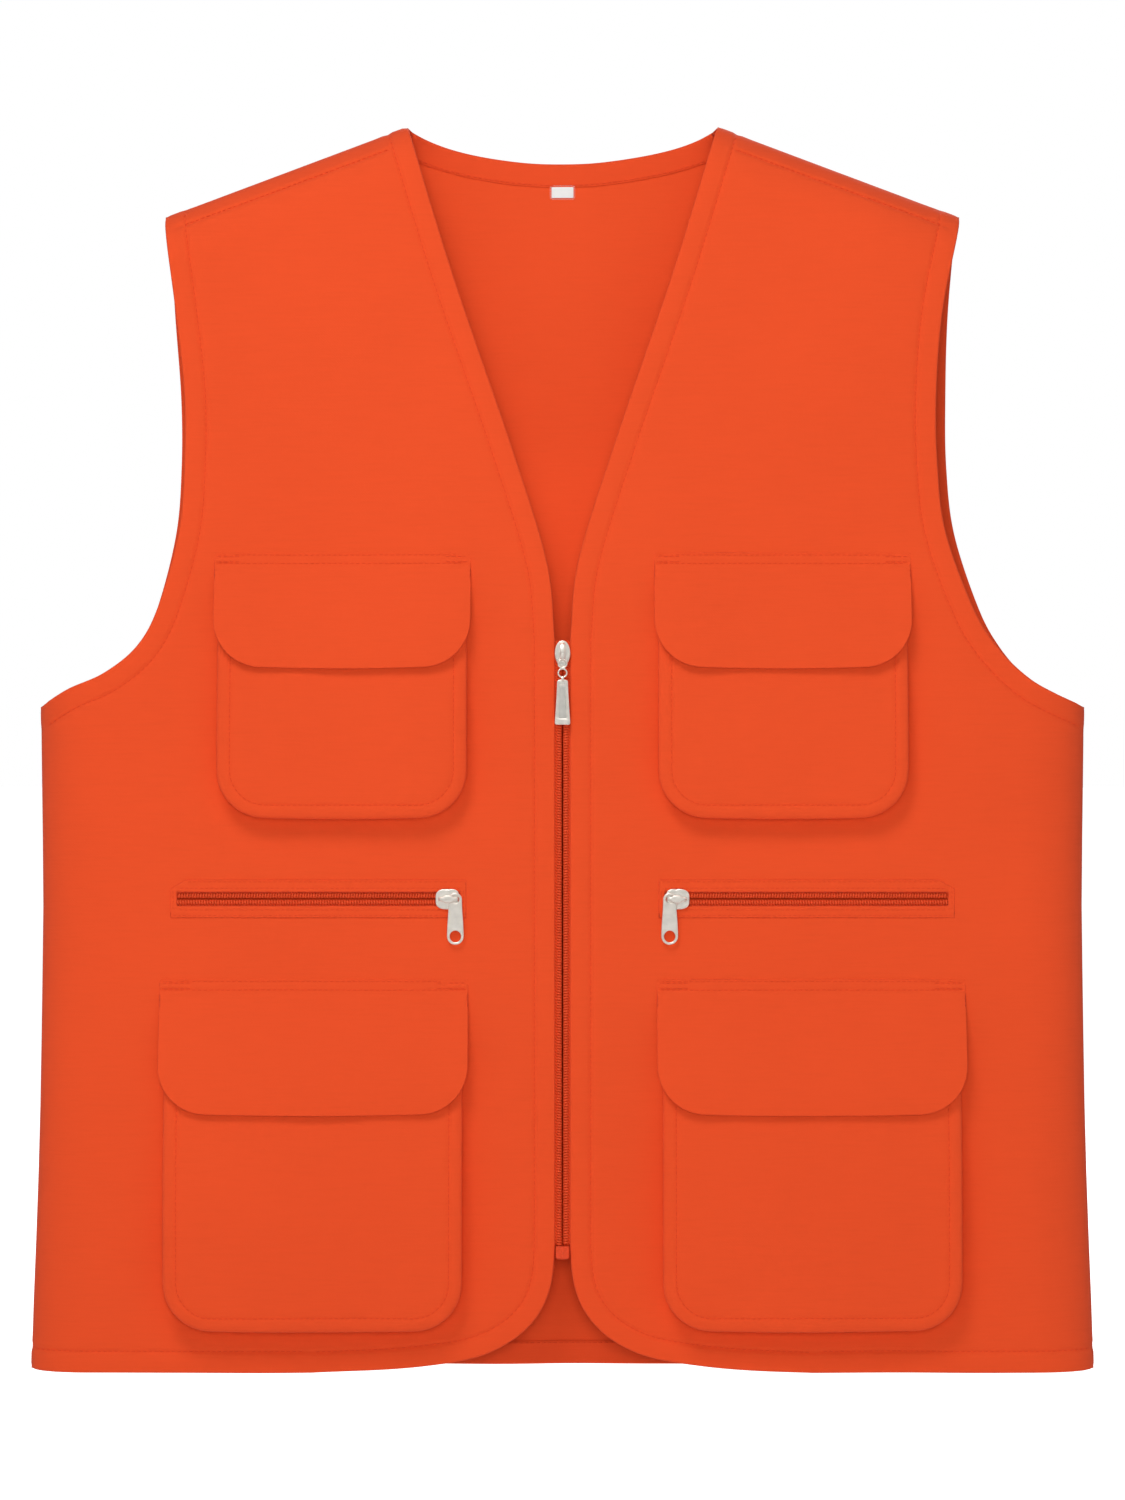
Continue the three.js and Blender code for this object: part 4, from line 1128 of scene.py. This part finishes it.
def make_welt(side_name, side):
    """The zipped pocket's frame, its zip and its bag."""
    _, (x0, x1, z0, z1) = window()
    node = f"{side_name}_zip_pocket_welt"
    body = f"{side_name}_front"
    above, below, beyond = 6.6, 6.4, 3.4
    outer = corners([(x0 - beyond, z0 - below), (x1 + beyond, z0 - below), (x1 + beyond, z1 + 1.5),
                     (x1 - 5.5, z1 + above), (x0 - beyond, z1 + above), (x0 - beyond, z0 - below)])[:-1]
    hole = corners([(x0 + 0.4, z0 + 0.6), (x1 - 0.4, z0 + 0.6), (x1 - 0.4, z1 - 0.6), (x0 + 0.4, z1 - 0.6),
                    (x0 + 0.4, z0 + 0.6)])[:-1]
    lips = [straight((x0 - 0.5, z0 - 1.8), (x1 + 0.5, z0 - 1.8)),
            straight((x0 - 0.5, z1 + 1.8), (x1 + 0.5, z1 + 1.8)),
            straight((x0 - 1.8, z0 - 2), (x0 - 1.8, z1 + 2)), straight((x1 + 1.8, z0 - 2), (x1 + 1.8, z1 + 2))]
    lower_line = straight((x0 - 2.2, z0 - below + 1.4), (x1 + 2.2, z0 - below + 1.4))
    upper_line = straight((x0 - 2.2, z1 + above - 1.2), (x1 - 6, z1 + above - 1.2))
    rows = [mirrored(p, side) for p in lips + [lower_line, upper_line]]

    def relief(p):
        x, z = p[:, 0], p[:, 1]
        roll = 0.35 * np.exp(-(np.minimum(np.abs(z - z1 - 0.6), np.abs(z - z0 + 0.6)) / 1.4) ** 2)
        wave = 0.16 * np.sin(x / 7.5) * np.exp(-((z - z1 - 3) / 4) ** 2)
        return roll + wave + sum(groove(p, r, 0.22, 0.7) for r in rows)

    welt = cloth(f"{node}_cloth", mirrored(outer, side), front_y, SHELL, out=-1, holes=[mirrored(hole, side)],
                 thick=0.75, sink=-0.6, grid=3.0, lines=rows, relief=relief, rows=(0.2, 0.5, 1.0))
    finish_piece(welt, body, [node])
    thread = stitches(f"{node}_thread", rows, lambda x, z: front_y(x, z) - 0.6, THREAD, out=-1, relief=relief,
                      pitch=2.8, length=2.0, radius=0.2)
    finish_piece(thread, body)
    low, high = node_box(f"{side_name}_pocket_zip_tape")
    zip_z = (low[2] + high[2]) / 2
    path = straight((low[0], zip_z), (high[0], zip_z), 2.5)
    half, slit = 10.6, 0.25

    def cord(p):
        return 0.1 * np.exp(-((np.abs(p[:, 1] - zip_z) - 3.6) / 0.5) ** 2)

    tapes = [ribbon(f"tape_{sign}", path, sign * slit, sign * half, lambda x, z: np.full_like(x, low[1]), TAPE,
                    thick=0.5, columns=9, relief=cord) for sign in (-1, 1)]
    tape = join(f"{side_name}_pocket_zip_tape_cloth", tapes)
    tape["flat_size"] = [(high[0] - low[0]) * MM, 2 * half * MM]
    tape["flat_area"] = (high[0] - low[0]) * 2 * (half - slit) * MM * MM
    finish_piece(tape, body, [f"{side_name}_pocket_zip_tape"])
    low_t, high_t = node_box(f"{side_name}_pocket_zip_teeth")
    teeth = coil(f"{side_name}_pocket_zip_coil", (low_t[0], high_t[0]), zip_z, (low_t[1] + high_t[1]) / 2,
                 (high_t[2] - low_t[2]) / 2, along_x=True)
    finish_piece(teeth, body, [f"{side_name}_pocket_zip_teeth"])
    low_b, high_b = node_box(f"{side_name}_zip_pocket_bag")
    loop = rounded_rectangle(high_b[0] - low_b[0], high_b[2] - low_b[2], 18, 3)
    loop = loop + ((low_b[0] + high_b[0]) / 2, high_b[2])
    lines = [offset(closed(anticlockwise(loop)), 5)]

    def bag_y(x, z):
        wave = 0.8 * np.sin(x / 26) * np.sin(z / 31) + 0.3 * np.sin(z / 13 + x / 19)
        return np.full_like(x, high_b[1] + 0.9) + wave

    def puff(p):
        return groove(p, lines[0]) + 0.9 * smooth_step(distance(p, lines[0])[0] / 30)

    bag = cloth(f"{side_name}_zip_pocket_bag_cloth", loop, bag_y, LINING, out=1, thick=1.3, grid=6.0,
                lines=lines, relief=puff)
    finish_piece(bag, body, [f"{side_name}_zip_pocket_bag"])
    bag_thread = stitches(f"{side_name}_zip_pocket_bag_thread", lines, bag_y, THREAD, out=1,
                          relief=lambda p: groove(p, lines[0]))
    finish_piece(bag_thread, body)


def coil(name, span, centre, y, reach, along_x, half=0):
    """Two meshing rows of a nylon coil: one round loop after another, each turned over its tape's edge.

    half picks one row only: 1 or -1.
    """
    pitch = 1.5
    tip = 0.45  # the two rows stop this far from the middle
    profile = [(-1.0, 0.0), (-0.93, 0.62), (-0.55, 0.92), (0.1, 1.0), (0.72, 0.86), (0.97, 0.5), (1.0, 0.0)]
    around = 8
    points, faces = [], []
    for sign in (-1, 1):
        if half and sign != half:
            continue
        starts = np.arange(span[0] + 0.5 + (pitch / 2 if sign > 0 else 0), span[1] - 0.5, pitch)
        for s in starts:
            first = len(points)
            for k, (u, width) in enumerate(profile):
                across = sign * (tip + (u + 1) / 2 * (reach + 0.15 - tip))
                lift = 0.8 * (1 - u * u) - 0.25
                w, t = max(width, 0.05) * 0.52, max(width, 0.05) * 0.72
                for j in range(around):
                    a = 2 * math.pi * j / around
                    along = s + w * math.cos(a) + 0.16 * u
                    depth = y - t * math.sin(a) - lift
                    if along_x:
                        points.append((along, depth, centre + across))
                    else:
                        points.append((centre + across, depth, along))
            for k in range(len(profile) - 1):
                for j in range(around):
                    n = (j + 1) % around
                    ring, after = first + k * around, first + (k + 1) * around
                    faces.append((ring + j, ring + n, after + n, after + j))
            faces.append(tuple(first + j for j in range(around))[::-1])
            faces.append(tuple(first + (len(profile) - 1) * around + j for j in range(around)))
    piece = mesh_object(name, points, faces, NYLON)
    weld(piece, 0.0005)
    return piece


def ellipse(x, z, half_x, half_z, count=36, power=1.0):
    a = np.linspace(0, 2 * math.pi, count, endpoint=False)
    c, s = np.cos(a), np.sin(a)
    return np.stack([x + half_x * np.sign(c) * np.abs(c) ** power,
                     z + half_z * np.sign(s) * np.abs(s) ** power], axis=1)


def make_front_zip():
    for side_name, side in BODY_SIDES:
        body = f"{side_name}_front"
        low, high = node_box(f"{side_name}_front_zip_tape")
        outer = max(abs(low[0]), abs(high[0]))
        path = straight((side * 0.2, high[2]), (side * 0.2, low[2]), 2.5)
        tape = ribbon(f"{body}_zip_tape_cloth", path, side * 0.15, side * (outer - 0.2),
                      lambda x, z: np.full_like(x, low[1]), TAPE, thick=0.5, columns=9,
                      relief=lambda p: 0.12 * np.exp(-((np.abs(p[:, 0]) - 3.7) / 0.5) ** 2))
        finish_piece(tape, body, [f"{side_name}_front_zip_tape"])
        low_t, high_t = node_box(f"{side_name}_front_zip_teeth")
        teeth_y = (low_t[1] + high_t[1]) / 2
        teeth = coil(f"{body}_zip_coil", (low_t[2], high_t[2]), 0.0, teeth_y, 3.1, False, side)
        finish_piece(teeth, body, [f"{side_name}_front_zip_teeth"])
    low, high = node_box("retaining_box")
    loop = rounded_rectangle(high[0] - low[0], high[2] - low[2], 1.6, 0.7, step=0.5) + (0, high[2])
    box_top = high[2]

    def ridge(p):
        return 0.18 * np.exp(-(p[:, 0] / 0.5) ** 2) - 0.12 * np.exp(-((p[:, 1] - box_top + 1.4) / 0.4) ** 2)

    box = plate("retaining_box_plastic", loop, low[1], high[1], BOX_PLASTIC, bevel=0.6, grid=0.5, relief=ridge)
    finish_piece(box, "left_front", ["retaining_box"])
    low, high = node_box("insertion_pin")
    middle = (low + high) / 2
    path = [(middle[0], middle[1], z) for z in np.linspace(low[2], high[2], 6)]
    pin = bar("insertion_pin_nylon", path, (1, 0, 0), high[0] - low[0], high[1] - low[1], BOX_PLASTIC)
    finish_piece(pin, "right_front", ["insertion_pin"])


def make_front_slider():
    low, high = node_box("front_zip_slider")
    top, bottom, half = high[2], low[2], high[0]
    middle = (top + bottom) / 2
    a = np.linspace(0, 2 * math.pi, 60, endpoint=False)
    wide = half * (1 - 0.26 * np.clip(-np.sin(a), 0, 1) ** 1.6 - 0.1 * np.clip(np.sin(a), 0, 1) ** 3)
    shape = np.stack([wide * np.sign(np.cos(a)) * np.abs(np.cos(a)) ** 0.8,
                      middle + (top - bottom) / 2 * np.sin(a)], axis=1)

    def crest(p):
        return 0.35 * np.exp(-(np.hypot(p[:, 0] / 2.1, (p[:, 1] - middle - 0.6) / 4.6) ** 2) * 1.2)

    front_plate = plate("slider_front", shape, SLIDER_FRONT, SLIDER_FRONT + 1.1, NICKEL, bevel=0.5, grid=0.7,
                        relief=crest)
    rear_plate = plate("slider_rear", shape, high[1] - 1.0, high[1], NICKEL, bevel=0.4, grid=0.8)
    web_path = [(0, y, top - 2.6) for y in np.linspace(SLIDER_FRONT + 0.9, high[1] - 0.5, 5)]
    web = bar("slider_web", web_path, (1, 0, 0), 0.7, 4.0, NICKEL)
    t = np.linspace(0, 1, 22)
    crown_top = top - 1.6
    crown_length = 9.4
    foot_y = SLIDER_FRONT + 0.3
    rise = foot_y - (low[1] + 0.55)
    path = np.stack([np.zeros_like(t), foot_y - rise * np.sin(math.pi * t) ** 0.42,
                     crown_top - crown_length * t], axis=1)
    crown = bar("slider_crown", path, (1, 0, 0), 2.9, 1.0, NICKEL, power=0.8, taper=0.9)
    slider = join("front_zip_slider_metal", [front_plate, rear_plate, web, crown])
    finish_piece(slider, "front_zip_slider", ["front_zip_slider"])

    low, high = node_box("front_zip_link")
    top, bottom, half = high[2], low[2], high[0]
    z = np.linspace(top, bottom, 90)
    ring = half - 0.1
    circles = [np.sqrt(np.clip(ring ** 2 - (z - c) ** 2, 0, None)) for c in (top - ring, bottom + ring)]
    width = np.maximum(np.maximum(*circles), 0.02)
    waist = np.abs(z - (top + bottom) / 2) < ring
    width = np.where(waist, np.maximum(width, 1.0), width)
    right = np.stack([width, z], axis=1)
    outline = np.vstack([right, mirrored(right[::-1], -1)[1:-1]])
    holes = [ellipse(0, c, ring - 1.05, ring - 1.05, 28) for c in (top - ring, bottom + ring)]
    link = plate("front_zip_link_metal", resample(closed(outline), 0.5)[:-1], low[1], high[1], NICKEL,
                 holes=holes, bevel=0.5, grid=0.6)
    finish_piece(link, "front_zip_link", ["front_zip_link"])

    low, high = node_box("front_zip_tab")
    bottom, half = low[2] - 1.5, high[0]
    shoulder = bottom + 24.1
    top_half = half * 0.7
    t = np.linspace(0, 1, 14)
    flare = top_half + (half - top_half) * t ** 1.25
    right = np.stack([flare, shoulder - (shoulder - bottom - 0.9) * t], axis=1)
    foot = np.array([(half - 0.25, bottom + 0.35), (half - 0.9, bottom)])
    head = np.array([(0.9, shoulder + 1.2), (top_half - 0.9, shoulder + 0.85),
                     (top_half - 0.1, shoulder + 0.4)])
    profile = np.vstack([head, right, foot])
    outline = resample(closed(np.vstack([profile, mirrored(profile[::-1], -1)])), 0.7)[:-1]

    def recess(p):
        level = np.clip((shoulder - p[:, 1]) / (shoulder - bottom), 0, 1)
        inner_half = (top_half + (half - top_half) * level) * 0.56
        u = (np.abs(p[:, 0]) - inner_half) / 0.35
        v = np.maximum((p[:, 1] - shoulder + 1.8), (bottom + 3.4 - p[:, 1])) / 0.35
        return -0.34 * smooth_step(0.5 - np.maximum(u, v) / 2)

    tab_front = SLIDER_FRONT - 1.7
    tab = plate("tab_blade", outline, tab_front, tab_front + 1.4, NICKEL, bevel=0.4, grid=0.6, relief=recess)
    strip_length = np.linspace(shoulder - 2.1, bottom + 3.7, 20)
    share = (shoulder - strip_length) / (shoulder - bottom)
    strip_half = (top_half + (half - top_half) * share) * 0.56 - 0.25
    right = np.stack([strip_half, strip_length], axis=1)
    strip_outline = np.vstack([right, mirrored(right[::-1], -1)])
    strip = plate("tab_strip", resample(closed(strip_outline), 0.8)[:-1], tab_front + 0.2, tab_front + 0.6,
                  NICKEL_DULL, bevel=0.1, grid=0.8)
    a = np.linspace(-0.42 * math.pi, 1.42 * math.pi, 26)
    eye_z = shoulder + 1.55
    eye_path = np.stack([np.zeros_like(a), tab_front + 0.85 + 1.25 * np.cos(a),
                         eye_z + 1.35 * np.sin(a)], axis=1)
    eye = bar("tab_eye", eye_path, (1, 0, 0), 1.5, 0.62, NICKEL, power=0.8)
    tab = join("front_zip_tab_metal", [tab, strip, eye])
    finish_piece(tab, "front_zip_tab", ["front_zip_tab"])


def make_pocket_slider(side_name, side):
    low, high = node_box(f"{side_name}_pocket_zip_slider")
    x_in, x_out = (low[0], high[0]) if side > 0 else (high[0], low[0])
    zc = (low[2] + high[2]) / 2
    xc = (x_in + x_out) / 2
    half_x, half_z = abs(x_out - x_in) / 2, (high[2] - low[2]) / 2 + 0.8
    shape = ellipse(xc, zc, half_x, half_z, 56, power=0.55)
    away = (shape[:, 0] - xc) * side / half_x
    shape[:, 1] = zc + (shape[:, 1] - zc) * (1 - 0.16 * np.clip(away, 0, 1) ** 2)

    def crest(p):
        return 0.16 * np.exp(-np.hypot((p[:, 0] - xc) / 5.2, (p[:, 1] - zc) / 3.1) ** 4)

    front_plate = plate("slider_front", shape, SLIDER_FRONT, SLIDER_FRONT + 1.15, NICKEL, bevel=0.5, grid=0.8,
                        relief=crest)
    rear_plate = plate("slider_rear", shape, high[1] - 1.0, high[1], NICKEL, bevel=0.4, grid=0.9)
    web_x = x_in + side * 2.6
    web_path = [(web_x, y, zc) for y in np.linspace(SLIDER_FRONT + 0.9, high[1] - 0.5, 5)]
    web = bar("slider_web", web_path, (0, 0, 1), 0.7, 4.0, NICKEL)
    t = (1 - np.cos(np.linspace(0, math.pi, 34))) / 2
    start = x_in + side * 0.9
    foot_y = SLIDER_FRONT + 0.3
    rise = foot_y - (low[1] + 0.55)
    path = np.stack([start + side * 10.2 * t, foot_y - rise * np.sin(math.pi * t) ** 0.22,
                     np.full_like(t, zc)], axis=1)
    width = 2.3 + 2.1 * smooth_step((t - 0.2) / 0.14) * smooth_step((0.8 - t) / 0.14)
    crown = bar("slider_crown", path, (0, 0, 1), width, 1.0, NICKEL, power=0.7, taper=0.95)
    slider = join(f"{side_name}_pocket_zip_slider_metal", [front_plate, rear_plate, web, crown])
    finish_piece(slider, f"{side_name}_pocket_zip_slider", [f"{side_name}_pocket_zip_slider"])

    low, high = node_box(f"{side_name}_pocket_zip_pull")
    top, bottom = high[2], low[2]
    centre, half = (low[0] + high[0]) / 2, (high[0] - low[0]) / 2
    z = np.linspace(0, 1, 30)
    a = np.linspace(0, math.pi / 2, 12)
    head = half * 0.79
    right = [(centre + head * math.sin(t), top - head + head * math.cos(t)) for t in a]
    blade = [(centre + head + (half - head) * smooth_step(u), top - head + (bottom + half - top + head) * u)
             for u in z[1:-1]]
    foot = [(centre + half * math.cos(t), bottom + half - half * math.sin(t)) for t in a]
    profile = np.array(right + blade + foot)
    other = profile[::-1] * (-1, 1) + (2 * centre, 0)
    outline = resample(closed(np.vstack([profile, other[1:-1]])), 0.7)[:-1]
    holes = [ellipse(centre, bottom + half, 3.1, 3.2, 36), ellipse(centre, zc, 2.2, 2.2, 24)]
    pull = plate(f"{side_name}_pocket_zip_pull_metal", outline, low[1], high[1], NICKEL, holes=holes,
                 bevel=0.45, grid=0.8,
                 relief=lambda p: 0.12 * np.exp(-(((p[:, 1] - bottom - 2 * half - 0.6) / 0.7) ** 2)))
    finish_piece(pull, f"{side_name}_pocket_zip_pull", [f"{side_name}_pocket_zip_pull"])


# ---- The stage ----

AMBIENT = 0.265
REFLECTED = 0.8  # what shiny metal sees of the studio
MIDDLE = (0, 0, -0.35)
LAMPS = (  # name, place, where it points, width, power
    ("key", (-0.45, -1.35, 1.1), MIDDLE, 0.8, 15.0),
    ("front", (0.0, -2.3, -0.2), MIDDLE, 0.5, 15.5),
    ("inside", (0.0, -0.005, -0.245), (0.0, 1.0, -0.245), 0.13, 0.007),
    ("back", (0.5, 2.3, 1.2), MIDDLE, 1.4, 30.0),
)


def make_stage():
    scene = bpy.context.scene
    scene.view_settings.view_transform = "Standard"
    material, tree, shader, add = nodes_for("pale_studio")
    where = add("ShaderNodeTexCoord").outputs["Object"]
    speckle = add("ShaderNodeTexNoise", {"Vector": where, "Scale": 30.0, "Detail": 2.0}).outputs["Fac"]
    tint = ramp(add, speckle, [(0.3, (0.9, 0.9, 0.9)), (0.7, (0.93, 0.93, 0.93))])
    tree.links.new(tint, shader.inputs["Base Color"])
    shader.inputs["Roughness"].default_value = 0.9
    shader.inputs["Specular IOR Level"].default_value = 0.1
    shader.inputs["Emission Color"].default_value = (1, 1, 1, 1)
    seen_only = add("ShaderNodeMath", {0: add("ShaderNodeLightPath").outputs["Is Camera Ray"], 1: 0.8},
                    operation="MULTIPLY")
    tree.links.new(seen_only.outputs[0], shader.inputs["Emission Strength"])
    floor_z, reach = -800.0, 60000.0
    a = np.arange(48) / 48 * 2 * math.pi
    rings = [[(r * math.cos(t), r * math.sin(t), floor_z) for t in a] for r in (1, 900, 4000, 15000, reach)]
    floor = sweep("studio_floor", rings, material, caps=False)
    world = bpy.data.worlds.new("studio")
    world.use_nodes = True
    tree = world.node_tree
    light = tree.nodes["Background"]
    light.inputs["Color"].default_value = (1, 1, 1, 1)
    light.inputs["Strength"].default_value = AMBIENT
    seen = tree.nodes.new("ShaderNodeBackground")
    seen.inputs["Color"].default_value = (1, 1, 1, 1)
    seen.inputs["Strength"].default_value = 1.0
    rays = tree.nodes.new("ShaderNodeLightPath")
    shiny = tree.nodes.new("ShaderNodeBackground")
    shiny.inputs["Color"].default_value = (1, 1, 1, 1)
    shiny.inputs["Strength"].default_value = REFLECTED
    choose = [tree.nodes.new("ShaderNodeMixShader") for _ in range(2)]
    tree.links.new(rays.outputs["Is Glossy Ray"], choose[0].inputs["Fac"])
    tree.links.new(light.outputs["Background"], choose[0].inputs[1])
    tree.links.new(shiny.outputs["Background"], choose[0].inputs[2])
    tree.links.new(rays.outputs["Is Camera Ray"], choose[1].inputs["Fac"])
    tree.links.new(choose[0].outputs["Shader"], choose[1].inputs[1])
    tree.links.new(seen.outputs["Background"], choose[1].inputs[2])
    tree.links.new(choose[1].outputs["Shader"], tree.nodes["World Output"].inputs["Surface"])
    scene.world = world
    for name, at, target, size, power in LAMPS:
        data = bpy.data.lights.new(name, "AREA")
        data.shape = "DISK"
        data.size = size
        data.energy = power
        lamp = bpy.data.objects.new(name, data)
        lamp.location = at
        lamp.rotation_mode = "QUATERNION"
        lamp.rotation_quaternion = (Vector(target) - Vector(at)).to_track_quat("-Z", "Y")
        lamp.visible_camera = False
        lamp.visible_glossy = name not in ("front", "inside")
        scene.collection.objects.link(lamp)


def make_camera():
    data = bpy.data.cameras.new("camera")
    data.lens = 100
    data.sensor_width = 36
    data.clip_start, data.clip_end = 0.05, 50
    camera = bpy.data.objects.new("camera", data)
    camera.location = (0, -2.3425, -0.35)
    camera.rotation_euler = (math.pi / 2, 0, 0)
    bpy.context.scene.collection.objects.link(camera)
    bpy.context.scene.camera = camera


make_camera()
make_stage()
make_back()
for SIDE_NAME, SIDE in BODY_SIDES:
    make_front(SIDE_NAME, SIDE)
    make_welt(SIDE_NAME, SIDE)
    for KIND in ("chest", "lower"):
        pocket = Pocket(KIND, SIDE_NAME, SIDE)
        pocket.build()
        pocket.build_flap()
    make_pocket_slider(SIDE_NAME, SIDE)
make_front_zip()
make_front_slider()
